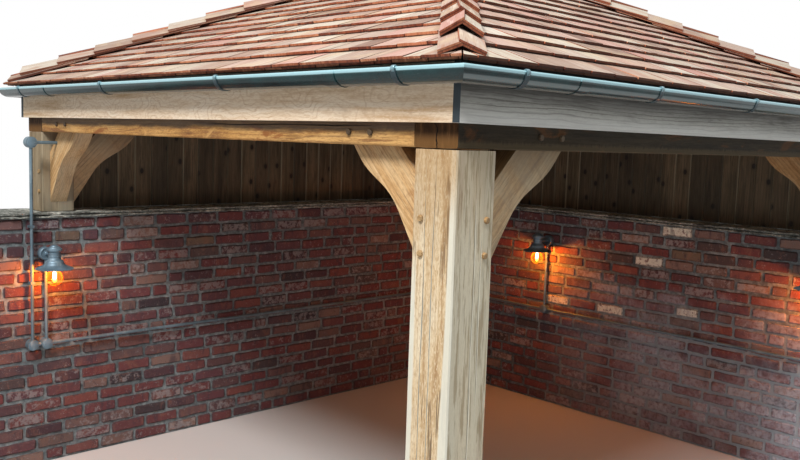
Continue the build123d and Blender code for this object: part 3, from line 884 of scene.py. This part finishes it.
# %% both walls
back_low, back_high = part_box("back_wall")
right_low, right_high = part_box("right_wall")
cream, dark, ochre, chalky = (0.985, 0.2), (0.925, 0.1), (0.955, 0.5), (0.87, 1.0)
right_special = [((back_low.y + run, height), look) for run, height, look in (
    (0.598, 1.476, cream), (0.591, 1.231, cream), (-0.214, 0.859, cream), (0.255, 0.863, cream),
    (0.768, 0.926, (0.985, 0.5)), (0.28, 1.405, chalky), (0.871, 1.316, ochre), (0.30, 1.24, dark),
    (1.02, 1.32, dark), (1.05, 1.40, dark), (1.20, 1.16, chalky), (1.32, 1.17, chalky))]
back_special = [((run - back_low.x, height), look) for run, height, look in (
    (-1.384, 1.388, ochre), (-0.888, 1.388, chalky), (-0.663, 1.224, (0.3, 0.95)),
    (-0.589, 1.157, chalky), (-0.305, 1.304, ochre))]
wall_faces = {
    "back": (((back_low.x, back_low.y), east, -north, right_low.x - back_low.x, "even", "butt",
              back_special),
             ((back_high.x, back_high.y), -east, north, back_high.x - back_low.x, "even", "odd"),
             ((back_low.x, back_high.y), -north, -east, back_high.y - back_low.y, "even", "odd")),
    "right": (((right_low.x, back_low.y), -north, -east, back_low.y - right_low.y, "butt", "even",
               right_special),
              ((right_low.x, right_low.y), east, -north, right_high.x - right_low.x, "odd", "odd"),
              ((right_high.x, right_low.y), north, east, back_high.y - right_low.y, "even", "odd"))}
for name, faces in wall_faces.items():
    bm = mesh_with("tone", "lime")
    bm.faces.layers.float.new("rim")
    for corner, *how in faces:
        lay_face(bm, Vector((*corner, 0)), *how)
    wear_bricks(bm)
    wall = f"{name}_wall"
    new_piece(f"{wall}_bricks", bm, brick, "reclaimed_brick", wall)
    new_piece(f"{wall}_mortar", mortar_core(*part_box(wall)), mortar, "reclaimed_brick", wall)

# %% [markdown]
# ## Copings
#
# Thin riven stones lie in two layers on each wall. Riven stone has no straight edge: each slab is a
# block cut into a grid, and the points of its outline are pushed in by noise, so that the
# edges look broken by hand.

# %% coping stones
coping_joint = 0.004
slab_lengths = (0.26, 0.58)


def coping(low, high, axis, seed):
    """Two layers of riven slabs that fill the coping's box along one axis."""
    rng = random.Random(seed)
    bm = mesh_with("tone")
    tone = bm.verts.layers.float["tone"]
    thickness = (high.z - low.z) / 2
    other = 1 - axis
    for layer in range(2):
        place = low[axis]
        while place < high[axis] - 0.01:
            stop = place + rng.uniform(*slab_lengths)
            stop = high[axis] if high[axis] - stop < 0.2 else stop
            size, middle = Vector(), Vector()
            size[axis], middle[axis] = stop - place - coping_joint, (place + stop) / 2
            size[other], middle[other] = high[other] - low[other], (high[other] + low[other]) / 2
            size.z, middle.z = thickness - 0.001, low.z + thickness * (layer + 0.5)
            corners = block(bm, middle, size)
            edges = dict.fromkeys(e for v in corners for e in v.link_edges)
            shade = rng.random()
            for vertex in corners:
                vertex[tone] = shade
            long_edges = [e for e in edges if abs((e.verts[0].co - e.verts[1].co)[axis]) > 0.1]
            bmesh.ops.subdivide_edges(bm, edges=long_edges, cuts=14, use_grid_fill=True)
            place = stop
    bmesh.ops.subdivide_edges(bm, edges=steep(bm, thickness / 2), cuts=2, use_grid_fill=True)
    for vertex in bm.verts:
        rough = noise.noise(vertex.co * 14 + Vector((0, 0, vertex.co.z * 60)))
        fine = noise.noise(vertex.co * 47 + Vector((3, 1, vertex.co.z * 90)))
        bed_joint = abs(vertex.co.z - low.z - thickness) < thickness * 0.2
        inward = 0.007 + rough * 0.009 + fine * 0.007 + bed_joint * 0.006
        sign = 1 if vertex.co[other] < (low[other] + high[other]) / 2 else -1
        vertex.co[other] += sign * max(0.0, inward)
        share = (vertex.co.z - low.z) / thickness % 1
        vertex.co.z -= share * (abs(fine) * 0.0060 + abs(rough) * 0.0040)
    return bm


slab = Finish("riven_stone")
slow = slab.noise(6, 4, 0.6)
fast = slab.noise(60, 5, 0.65)
layers = slab.node("ShaderNodeMapping", {}, {"Vector": slab.place, "Scale": (1, 1, 9)})
leaves = slab.noise(30, 4, 0.6, place=layers)
body = slab.ramp(slow * 0.5 + fast * 0.5, (0.38, "#5a5d5a"), (0.50, "#969a94"), (0.62, "#dadcd2"))
slab.surface(base_color=body, roughness=0.9, normal=slab.bump(fast * 0.5 + leaves, 0.005, 1.0))
slab.stain(leaves, 0.50, 0.58, 0.8, "#252622")
slab.stain(fast, 0.60, 0.72, 0.5, "#b4b0a0")
for number, name in enumerate(("back", "right")):
    new_piece(f"{name}_coping_stones", coping(*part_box(f"{name}_coping"), number, 8 + number), slab,
              "stone_coping", f"{name}_coping")

# %% [markdown]
# ## Boarding
#
# The panels over the walls are knotty softwood boards, stained dark. Each board has a small bevel along
# both edges, so two neighbours make a V-groove, and its faces are painted pale, a painted highlight
# that shows as a thin light line. Every board is its own block, because the knots have to stop at the
# groove.

# %% knotty boards
board_pitch, board_gap, board_bevel = 0.120, 0.0006, 0.006


def boarding(low, high, axis, seed):
    """Upright boards that fill the panel's box along one axis."""
    rng = random.Random(seed)
    bm = mesh_with("tone")
    tone = bm.verts.layers.float["tone"]
    count = round((high[axis] - low[axis]) / board_pitch)
    width = (high[axis] - low[axis]) / count
    for number in range(count):
        size, middle = high - low, (low + high) / 2
        size[axis] = width - board_gap
        size.y -= 0.001
        middle[axis] = low[axis] + (number + 0.5) * width
        middle[1 - axis] += rng.uniform(-0.0005, 0.0005)
        shade = rng.random()
        for vertex in block(bm, middle, size):
            vertex[tone] = shade
    bevel(bm, steep(bm, 0.1), board_bevel)
    bm.normal_update()
    groove = bm.faces.layers.float.new("groove")
    for face in bm.faces:
        face[groove] = float(0.3 < abs(face.normal.x) < 0.95)
    return bm


def board_place(f):
    """Object coordinates with every board's pattern moved along it by its own amount."""
    shift = f.attribute("tone") * 7.3
    return f.vector("ADD", f.place, f.xyz(shift * 0.3, shift * 0.3, shift))


board = wood("stained_boards", "#6b5d49", "#524836", "#332b20", place_of=board_place, knots=5.2,
             rough=0.7, tone_from="tone", tone_size=0.28)
# the groove faces are painted pale, a painted highlight that varies from board to board
groove = board.attribute("groove") * board.span(board.attribute("tone"), 0.45, 0.75, 0.15, 1.0)
board.over(groove * 0.55, "#a39a83")
for axis, name in enumerate(("back", "right")):
    new_piece(f"{name}_boards", boarding(*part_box(f"{name}_boarding"), axis, 31 + axis), board,
              "knotty_boards", f"{name}_boarding")

# %% [markdown]
# ## Cedar shingles
#
# The roof wears split-thin boards of red cedar in courses 134 mm apart. A shingle is sawn to a
# taper: thick at its butt, thin at the hidden end, so each course lies on the thin ends of the one
# below. The thick butts are what draws the roof: a bright top, then a strip of darker end
# grain with a shadow under it. That shadow needs real thickness, so all shingles are built, but with
# only fourteen faces each.
#
# A slope is laid flat in its own space, where x runs along the eaves, y up the roof and z off it.
# Then it is turned into place and cut along the hips by two planes.

# %% boards with a taper
def taper_board(bm, start, size, butt, far, tone, turn=0.0, lean=0.0):
    """A board whose butt is centred on start. butt and far are the (low, high) heights of its ends."""
    layer, edge = bm.verts.layers.float["tone"], bm.verts.layers.float["edge"]
    made = bmesh.ops.create_cube(bm, size=1)
    for vertex in made["verts"]:
        across, along, top = vertex.co.x, vertex.co.y + 0.5, vertex.co.z > 0
        vertex[edge] = float(top)
        height = butt[top] + (far[top] - butt[top]) * along
        flat = Vector((across * size[0], along * size[1])) @ Matrix.Rotation(turn, 2)
        vertex.co = (start[0] + flat.x, start[1] + flat.y, height + across * lean)
        vertex[layer] = tone


def rough_boards(bm, cuts, ragged):
    """Splits all boards across their width and makes their butts uneven."""
    wide = [e for e in bm.edges if abs((e.verts[0].co - e.verts[1].co).normalized().x) > 0.9]
    bmesh.ops.subdivide_edges(bm, edges=wide, cuts=cuts, use_grid_fill=True)
    layer = bm.verts.layers.float["tone"]
    grain = bm.loops.layers.uv.new("grain")
    for face in bm.faces:
        for loop in face.loops:
            shift = loop.vert[layer] * 37
            loop[grain].uv = (loop.vert.co.x + shift, loop.vert.co.y + shift * 1.7)
    for vertex in bm.verts:
        wave = noise.noise_vector((vertex.co.x * 26, vertex.co.y * 9, vertex[layer] * 90))
        vertex.co.y += wave.y * ragged
        vertex.co.z += wave.z * ragged * 0.35


def cut_off(bm, point, normal):
    """Cuts away all that lies past a plane and closes the cut boards."""
    bmesh.ops.bisect_plane(bm, geom=bm.verts[:] + bm.edges[:] + bm.faces[:], plane_co=point,
                           plane_no=normal, clear_outer=True, dist=1e-6)
    fill(bm, [e for e in bm.edges if e.is_boundary])


# %% shingles of the four slopes
exposure = 0.134
shingle_butt = 0.0118
shingle_length = 0.205
shingle_width, width_spread, narrowest, widest = 0.150, 0.036, 0.085, 0.225
shingle_gap = 0.0045
butt_slit = 0.0012
eaves_drip = 0.026
eaves_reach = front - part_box("front_shingles")[0].y
rng = random.Random(77)


def lay_shingles(side):
    """One slope of shingles in its own space, starting with the doubled course at the eaves."""
    bm = mesh_with("tone", "edge")
    deck = deck_lift * math.cos(side.pitch) + 0.0002
    first = -eaves_reach / math.cos(side.pitch) + 0.001
    slope = side.half_out / math.cos(side.pitch)
    rows = [(first - eaves_drip + 0.010, 0.0), (first - eaves_drip, shingle_butt)]
    rows += [(first + exposure * n, shingle_butt) for n in range(1, int(slope / exposure) + 2)]
    for butt_line, bed in rows:
        half = side.half_along * (1 - butt_line / slope) + 0.02
        place = -half - rng.uniform(0, 0.12)
        while place < half:
            width = min(max(rng.gauss(shingle_width, width_spread), narrowest), widest)
            back_step = max(0.0, rng.gauss(0.001, 0.0018))
            low = deck + bed + (butt_slit if bed else 0.0)
            thick = shingle_butt + rng.uniform(-0.0022, 0.0006)
            far_low = deck + max(0.0, bed - shingle_length * 0.06)
            taper_board(bm, (place + width / 2, butt_line + back_step),
                        (width - shingle_gap, shingle_length), (low, low + thick),
                        (far_low, far_low + 0.0045), rng.random(), rng.gauss(0, 0.003),
                        rng.gauss(0, 0.0009))
            place += width
    rough_boards(bm, 2, 0.0022)
    bmesh.ops.transform(bm, matrix=side.slope_space(), verts=bm.verts)
    for hand in (-1, 1):
        normal = side.hip_normal(hand)
        cut_off(bm, side.upright(hand * side.half_along, 0, heel) - normal * 0.003, normal)
    return bm


# %% [markdown]
# ## Cedar finish
#
# Each shingle carries its own tone, and its grain is read from a UV map laid along the board, so one
# material serves every slope. The tops have bleached to a pale pinkish tan. The butts face the other way
# and are still orange-brown, so the finish tells the two apart by how far the face looks up.

# %% cedar
cedar = Finish("red_cedar")
grain = cedar.node("ShaderNodeUVMap", {"uv_map": "grain"})
tone = cedar.attribute("tone")
long_grain = cedar.noise(46, 4, 0.6, 0.3, cedar.stretch((1, 12, 1), place=grain))
lines = cedar.noise(330, 3, 0.65, place=cedar.stretch((1, 60, 1), place=grain))
patches = cedar.noise(5.0, 4, 0.6)
body = cedar.ramp(tone, (0.0, "#7d655a"), (0.10, "#a28d7f"), (0.28, "#b8a598"), (0.42, "#b88c81"),
                  (0.56, "#b6ab9b"), (0.72, "#cbc3b5"), (0.86, "#977d70"), (1.0, "#bca193"))
cedar.surface(base_color=body, roughness=cedar.span(lines, 0.3, 0.7, 0.68, 0.9),
              normal=cedar.bump(lines * 0.5 + long_grain * 0.5, 0.0012))
cedar.stain(long_grain, 0.50, 0.34, 0.55, "#a8765a")
cedar.stain(long_grain, 0.55, 0.70, 0.5, "#ebe0d2")
cedar.stain(lines, 0.52, 0.68, 0.50, "#7b523b")
cedar.stain(patches, 0.50, 0.66, 0.40, "#cdb795")
# butts that face the front are painted darker, a painted shade
shaded_front = cedar.span(cedar.facing("Y"), -0.5, -0.85)
end_grain = cedar.ramp(lines * 0.5 + long_grain * 0.5 + (tone - 0.5) * 0.25, (0.34, "#6b3020"),
                       (0.50, "#b0603f"), (0.64, "#dc9570"))
end_grain = cedar.mix(shaded_front * 0.8, end_grain, "#47281c")
# painted shade along the bottom of each butt
end_grain = cedar.mix(cedar.span(cedar.attribute("edge"), 0.40, 0.02) * 0.8, end_grain, "#1d100b")
cedar.over(cedar.span(cedar.facing("Z"), 0.55, 0.25), end_grain)
for name, side in sides.items():
    new_piece(f"{name}_shingle_courses", lay_shingles(side), cedar, "cedar_shingles", f"{name}_shingles")

# %% [markdown]
# ## Hip caps
#
# The hips are covered by pairs of short cedar boards, two thick, laid up the hip with their butts
# square to it. Every pair rests on the one below only with its outer edges, because it is steeper than
# the roof, so a dark slit opens under the middle of each butt. The two wings are laced: in one
# pair the left wing laps over the right one, and in the next it is the other way round.

# %% hip caps
cap_exposure = 0.237
cap_length = 0.43
cap_board = 0.0085
cap_wing = 0.088
first_cap = -0.110


def wing_space(side, hand, distance, lift):
    """A space at one place of a hip: x into the slope, y up the hip, z off the slope."""
    corner = side.upright(hand * side.half_along, 0, heel)
    climb = (centre + up * apex - corner).normalized()
    off = side.slope_space().to_3x3() @ up
    inward = off.cross(climb) * hand
    return Matrix.Translation(corner + climb * distance + up * lift) @ Matrix(
        (inward, climb, off)).transposed().to_4x4()


def cap_wing_boards(whole, side, hand, start, number, laps):
    """The two boards of one wing. A wing that laps keeps its square edge; the other is mitred."""
    lowest = number == 0
    tilt = math.tan(math.radians(6.0 if lowest else rng.uniform(13.5, 15.5)))
    lift = shingle_lift + 0.0265 if lowest else cap_lift - 0.0015
    fall = 0.0140 if lowest else 0.0324
    for layer in range(2):
        bm = mesh_with("tone", "edge")
        high = -layer * cap_board
        width = cap_wing + (0.0075 if lowest else 0.0045) if laps else cap_wing + 0.03
        far_low = -fall - layer * 0.003
        taper_board(bm, (cap_wing - width / 2 + rng.uniform(-0.003, 0), layer * 0.001),
                    (width, cap_length - layer * 0.01), (high - cap_board, high),
                    (far_low, far_low + 0.003), rng.random(), rng.gauss(0, 0.004))
        rough_boards(bm, 2, 0.0010)
        for vertex in bm.verts:
            vertex.co.z -= vertex.co.x * tilt
        bmesh.ops.transform(bm, matrix=wing_space(side, hand, start, lift), verts=bm.verts)
        if not laps:
            cut_off(bm, side.upright(hand * side.half_along, 0, heel), side.hip_normal(hand))
        cut_off(bm, centre, side.along * -hand)
        mesh = bpy.data.meshes.new("wing")
        bm.to_mesh(mesh)
        bm.free()
        whole.from_mesh(mesh)
        bpy.data.meshes.remove(mesh)


hips = ((("front", -1), ("left", 1), 0.078), (("front", 1), ("right", -1), 0.082),
        (("right", 1), ("back", -1), 0.040), (("back", 1), ("left", -1), -0.038))
hip_length = Vector(((right - left) / 2, (back - front) / 2, roof_rise)).length
whole = mesh_with("tone", "edge")
whole.loops.layers.uv.new("grain")
for first, second, second_cap in hips:
    starts = [first_cap]
    while second_cap < hip_length - 0.08:
        starts.append(second_cap + rng.uniform(-0.004, 0.004))
        second_cap += cap_exposure
    for number, start in enumerate(starts):
        for wing, (name, hand) in enumerate((first, second)):
            cap_wing_boards(whole, sides[name], hand, start, number, (number + wing) % 2 == 0)
bmesh.ops.recalc_face_normals(whole, faces=whole.faces)
new_piece("hip_cap_boards", whole, cedar, "cedar_shingles", "hip_caps")

# %% [markdown]
# ## Lamps
#
# The wall lamps are spun steel: a flared shade, a ribbed neck and a domed cap, all round. So each is one
# profile, drawn from the top of the axis down the outside, round the rim and up the inside,
# and turned about its axis. Around the neck's back a dished round box stands on the wall.
# The bulb is an amber glass globe with a bright core, and a small warm light in it throws the glow on
# the bricks. The shade keeps that light off the wall above its rim.

# %% turning a profile
def turned(bm, profile, axis_from, axis, steps=40):
    """Spins (radius, height) pairs in millimetres about an axis, and closes the ends that lie on it."""
    axis = axis.normalized()
    across = axis.orthogonal().normalized()
    chain = [bm.verts.new(axis_from + across * (radius / 1000) + axis * (height / 1000))
             for radius, height in profile]
    edges = [bm.edges.new(pair) for pair in zip(chain, chain[1:])]
    before = set(bm.faces)
    bmesh.ops.spin(bm, geom=chain + edges, cent=axis_from, axis=axis, angle=math.tau, steps=steps,
                   use_merge=True)
    corners = dict.fromkeys(v for f in bm.faces if f not in before for v in f.verts)
    bmesh.ops.remove_doubles(bm, verts=list(corners), dist=1e-5)


def smooth_piece(name, bm, finish, slot, *nodes, angle=40):
    """Makes a turned mesh a piece with smooth shading, but keeps edges sharper than the angle."""
    bmesh.ops.recalc_face_normals(bm, faces=bm.faces)
    piece = new_piece(name, bm, finish, slot, *nodes)
    piece.data.polygons.foreach_set("use_smooth", [True] * len(piece.data.polygons))
    piece.data.set_sharp_from_angle(angle=math.radians(angle))
    return piece


shade_profile = [(0, 140.5), (9, 140), (22, 136), (24, 131), (34, 127), (37, 121), (45, 116), (46, 110),
                 (44, 105), (38, 102), (35, 100), (35, 93), (37, 91.5), (37, 88), (35, 86.5), (34.5, 76),
                 (36.5, 74.5), (36.5, 71), (34.5, 69.5), (35.5, 60), (39, 54), (46, 49), (52, 44),
                 (55, 37), (56, 29), (61, 23), (72, 16), (88, 9), (102, 3), (109, 0.3), (110.8, -1.2),
                 (109.6, -2.8), (106, -2.2), (101, 0), (87, 6), (70, 13), (57, 20), (52.5, 28),
                 (51.5, 36), (47, 41.5), (20, 42), (0, 42)]
box_profile = [(0, 40), (9, 40), (10, 41), (17, 41), (18, 39), (28, 38.5), (29.5, 41.5), (36, 42),
               (38.8, 40), (40, 36), (40, 30), (38.4, 29), (38.4, 27), (40, 26), (40, 5), (39.5, 0.5),
               (0, 0.5)]
arm_profile = [(0, 30), (11.5, 30), (11.5, 43), (8.5, 46), (8, 48), (8, 117), (10.5, 118), (10.5, 124),
               (0, 124)]
globe_profile = [(0, -104.8), (9, -103.8), (19, -101), (28, -96), (36.5, -88), (42.5, -78), (46, -67),
                 (46.6, -55), (44, -42), (38.5, -30), (30.5, -19), (23, -11), (18, -3), (14.5, 6),
                 (13, 16), (13, 40), (0, 40)]
thread_profile = [(0, -84), (6, -82), (10, -75), (11.5, -63), (11, -47), (9.5, -31), (8, -16), (7, -4),
                  (0, -3)]

# %% lamps in their places
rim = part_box("wall_lamps")[0].z + 0.003
lamp_reach = 0.156
box_rise = 0.074
wall_inner_y, wall_inner_x = back_low.y, right_low.x
lamp_spots = [(Vector((left - 0.022, wall_inner_y, 0)), -north),
              (Vector((wall_inner_x, front + 0.095, 0)), -east),
              (Vector((wall_inner_x, front + 2.190, 0)), -east)]
bm, globes, threads = bmesh.new(), bmesh.new(), bmesh.new()
for base, outward in lamp_spots:
    axis_point = base + outward * lamp_reach + up * rim
    on_wall = base + up * (rim + box_rise)
    turned(bm, shade_profile, axis_point, up)
    turned(bm, box_profile, on_wall, outward)
    turned(bm, arm_profile, on_wall, outward, 24)
    turned(globes, globe_profile, axis_point, up, 32)
    turned(threads, thread_profile, axis_point, up, 16)
print("lamps", len(lamp_spots))

# %% [markdown]
# ## Steel and glass
#
# The lamps and conduits are steel with a thin blue-grey paint that shines softly, and the gutters are
# the same colour but wetter looking, with a painted highlight along the bead of the front edge. Soft
# noise breaks up the shine, and a fine one gives the orange-peel of paint.

# %% painted steel
def painted_steel(name, base, dusty, rough, metal=0.35, spots=0.5):
    """Painted or zinc-coated steel: slow shade changes, dust and small dull spots."""
    f = Finish(name)
    slow = f.noise(7, 4, 0.55)
    drips = f.drawn(5, 42, 4, 0.6)
    fine = f.noise(520, 2)
    f.surface(base_color=f.mix(f.span(slow, 0.38, 0.64), base, darker(base, 0.72)),
              metallic=f.span(slow, 0.3, 0.7, metal * 0.7, metal),
              roughness=f.span(drips + fine * 0.2, 0.4, 0.8, rough, rough + 0.22),
              normal=f.bump(fine * 0.5 + drips * 0.5, 0.0006, 0.5))
    f.over(f.span(drips, 0.55, 0.70) * spots, dusty)
    return f


lamp_steel = painted_steel("lamp_steel", "#738b9b", "#a3b4bd", 0.34, 0.45)
smooth_piece("lamp_heads", bm, lamp_steel, "lamp_steel", "wall_lamps", angle=35)

# %% bulbs that glow
amber = Finish("amber_glass")
swirl = amber.noise(60)
rimward = amber.node("ShaderNodeLayerWeight", {}, {"Blend": 0.35}, "Facing")
amber.surface(base_color=amber.mix(swirl * 0.5 + rimward * 0.4, "#c9772a", "#a8500f"),
              roughness=amber.span(swirl, 0.3, 0.7, 0.03, 0.12),
              alpha=amber.span(rimward, 0.1, 0.9, 0.05, 0.35),
              emission_color=amber.mix(rimward, "#ffa02a", "#ff7a10"),
              emission_strength=0.2, normal=amber.bump(swirl, 0.0008, 0.4))
thread = Finish("glowing_core")
flicker = thread.noise(90, 2)
core_colour = thread.mix(thread.span(thread.along("Z") + flicker * 0.01, rim - 0.070, rim - 0.03),
                         "#ffc93a", "#fffbe0")
thread.surface(base_color=core_colour, roughness=0.4, emission_color=core_colour,
               emission_strength=6.0, normal=thread.bump(flicker, 0.0005, 0.3))
smooth_piece("bulb_globes", globes, amber, "bulb_glass", "lamp_bulbs").visible_shadow = False
smooth_piece("bulb_cores", threads, thread, "bulb_glass", "lamp_bulbs").visible_shadow = False
glow_watts, glow_colour, glow_drop = 9.0, (1.0, 0.235, 0.006), 0.045
for number, (base, outward) in enumerate(lamp_spots):
    place = base + outward * lamp_reach + up * (rim - glow_drop)
    new_lamp(f"lamp_glow_{number}", "POINT", place, glow_watts, glow_colour).data.shadow_soft_size = 0.02

# %% [markdown]
# ## Finishes for the pieces that stay as modelled
#
# The gutters, brackets, fascias, rafters and roof boards keep their CAD mesh, so only their material
# changes. Every one has its own grain direction.

# %% gutters, brackets and conduits
gutter = Finish("gutter_steel")
slow = gutter.noise(7, 4, 0.55)
fine = gutter.noise(300, 3, 0.6)
downward = gutter.facing("Z")
gutter_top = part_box("front_gutter")[1].z
gutter.surface(base_color=gutter.mix(gutter.span(slow, 0.36, 0.64), "#0f2b2e", "#193d40"),
               metallic=gutter.span(slow, 0.3, 0.7, 0.05, 0.2),
               roughness=gutter.span(fine + slow * 0.5, 0.5, 1.0, 0.12, 0.26),
               normal=gutter.bump(slow * 0.6 + fine * 0.1, 0.0010, 0.2))
# painted reflection: a pale band low on the body of the front and back gutters
low_reflection = gutter.span(downward, -0.42, -0.52) * gutter.span(downward, -0.80, -0.68)
low_reflection *= gutter.span(gutter.math("ABSOLUTE", gutter.facing("Y")), 0.1, 0.3)
gutter.over(low_reflection * 0.6, "#8d9c9e")
# painted reflection of the fascia along the gutter's underside
gutter.stain(downward, -0.85, -0.98, 0.6, "#9d958c")
gutter.stain(fine, 0.58, 0.72, 0.15, "#8fa0a4")
# painted highlight along the bead at the front edge
gutter.over(gutter.span(gutter.along("Z"), gutter_top - 0.016, gutter_top - 0.011), "#a4cfd9")
for name in sides:
    dress(f"{name}_gutter", gutter)
# The clips on the bead are painted light and the straps under the gutter dark: lit and shaded copies of
# one paint.
lit_clip_steel = painted_steel("lit_clip_steel", "#7fa3ae", "#b6ced4", 0.2, 0.3, 0.3)
dress("gutter_brackets", painted_steel("shaded_bracket_steel", "#32474f", "#6d858c", 0.25, 0.3, 0.3))
dress("wall_conduit", painted_steel("conduit_steel", "#6f8592", "#9aa9b0", 0.32, 0.45, 0.4))

# %% [markdown]
# ## Clips and lids
#
# Two small things finish the steelwork. Every gutter bracket ends in a clip that curls over the
# rolled front edge of the gutter, and every round box of the conduit is closed by a lid with two
# screws. Both are short turned shapes, so they reuse the profile helper.

# %% bracket clips and box lids
bracket_inset, bracket_spacing = 0.180, 0.960
bead_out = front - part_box("front_gutter")[0].y - 0.007
clip_profile = [(0, -8), (11.0, -8), (12.2, -6.5), (12.2, 6.5), (11.0, 8), (0, 8)]
bm = bmesh.new()
for side in sides.values():
    run = 2 * (side.half_along - bracket_inset)
    count = round(run / bracket_spacing)
    for step in range(count + 1):
        place = bracket_inset - side.half_along + step * run / count
        turned(bm, clip_profile, side.upright(place, bead_out, gutter_top - 0.007), side.along, 18)
smooth_piece("gutter_clips", bm, lit_clip_steel, "galvanised_gutter")

lid_profile = [(0, 47), (27, 47), (28.5, 46), (29, 44), (0, 44)]
screw_profile = [(0, 48.5), (3, 48.2), (4, 47), (4, 45), (0, 45)]
low_box, high_box = 0.755, 1.973
post_line = left - 0.105
boxes = [(base + up * low_box, outward) for base, outward in lamp_spots]
boxes += [(Vector((post_line, wall_inner_y, height)), -north) for height in (low_box, high_box)]
bm = bmesh.new()
for spot, outward in boxes:
    turned(bm, lid_profile, spot, outward, 32)
    for hand in (-1, 1):
        turned(bm, screw_profile, spot + up.cross(outward) * hand * 0.019, outward, 10)
smooth_piece("box_lids", bm, lamp_steel, "conduit_steel")

# %% fascias, rafters and roof boards
fascia_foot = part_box("front_fascia")[0].z
rafter_colours = ("#cdb38b", "#b2925f", "#7f5d39")
for name, side in sides.items():
    along = (1, 0, 0) if side.out.y else (0, 1, 0)
    if side.out.y:
        f = wood(f"{name}_fascia_oak", "#e4e6de", "#d2d3cc", "#5d544c", along, "#d8dad3", 0.3,
                 streaks=0.35, rings=0.95, ring_pitch=560, bend=44, ripple=7, ring_low=0.55, speckle=0.2)
        # painted shade from the gutter over the top of the fascia, weaker towards the right
        gutter_shade = f.span(f.along("Z") + f.drawn(8, 12) * 0.06, fascia_foot + 0.035, fascia_foot + 0.165)
        gutter_shade *= f.span(f.along("X"), left, right, 0.92, 0.75)
        # painted light along the bottom of the fascia
        f.over(f.span(f.along("Z"), fascia_foot + 0.075, fascia_foot + 0.010) * 0.7, "#fafcf8")
        f.over(gutter_shade, "#3f3d3a")
        f.over(f.span(f.math("ABSOLUTE", f.facing("X")), 0.6, 0.9), "#2b363d")
    else:
        f = wood(f"{name}_fascia_oak", "#fcecd6", "#f2dcc0", "#cba880", along, streaks=0.1, rings=0.45,
                 ring_pitch=260, bend=20, checks=0.1, ripple=75, ring_low=0.35, speckle=0.35)
    dress(f"{name}_fascia", f)
    rafter_grain = tuple(side.slope_space().to_3x3() @ north)
    dress(f"{name}_rafters", wood(f"{name}_rafter_oak", *rafter_colours, rafter_grain))
    f = wood(f"{name}_deck_wood", "#d9c09a", "#c2a172", "#8f6d45", along)
    # painted shade on the edges of the roof boards at the eaves
    f.over(f.span(f.math("ABSOLUTE", f.facing("Z")), 0.5, 0.3), "#17120e")
    dress(f"{name}_roof_boards", f)
dress("hip_rafters", wood("hip_oak", *rafter_colours, (1, 1, 0), place_of=folded_place))
dress("apex_boss", wood("boss_oak", *rafter_colours))
print("finished materials:", len(bpy.data.materials))
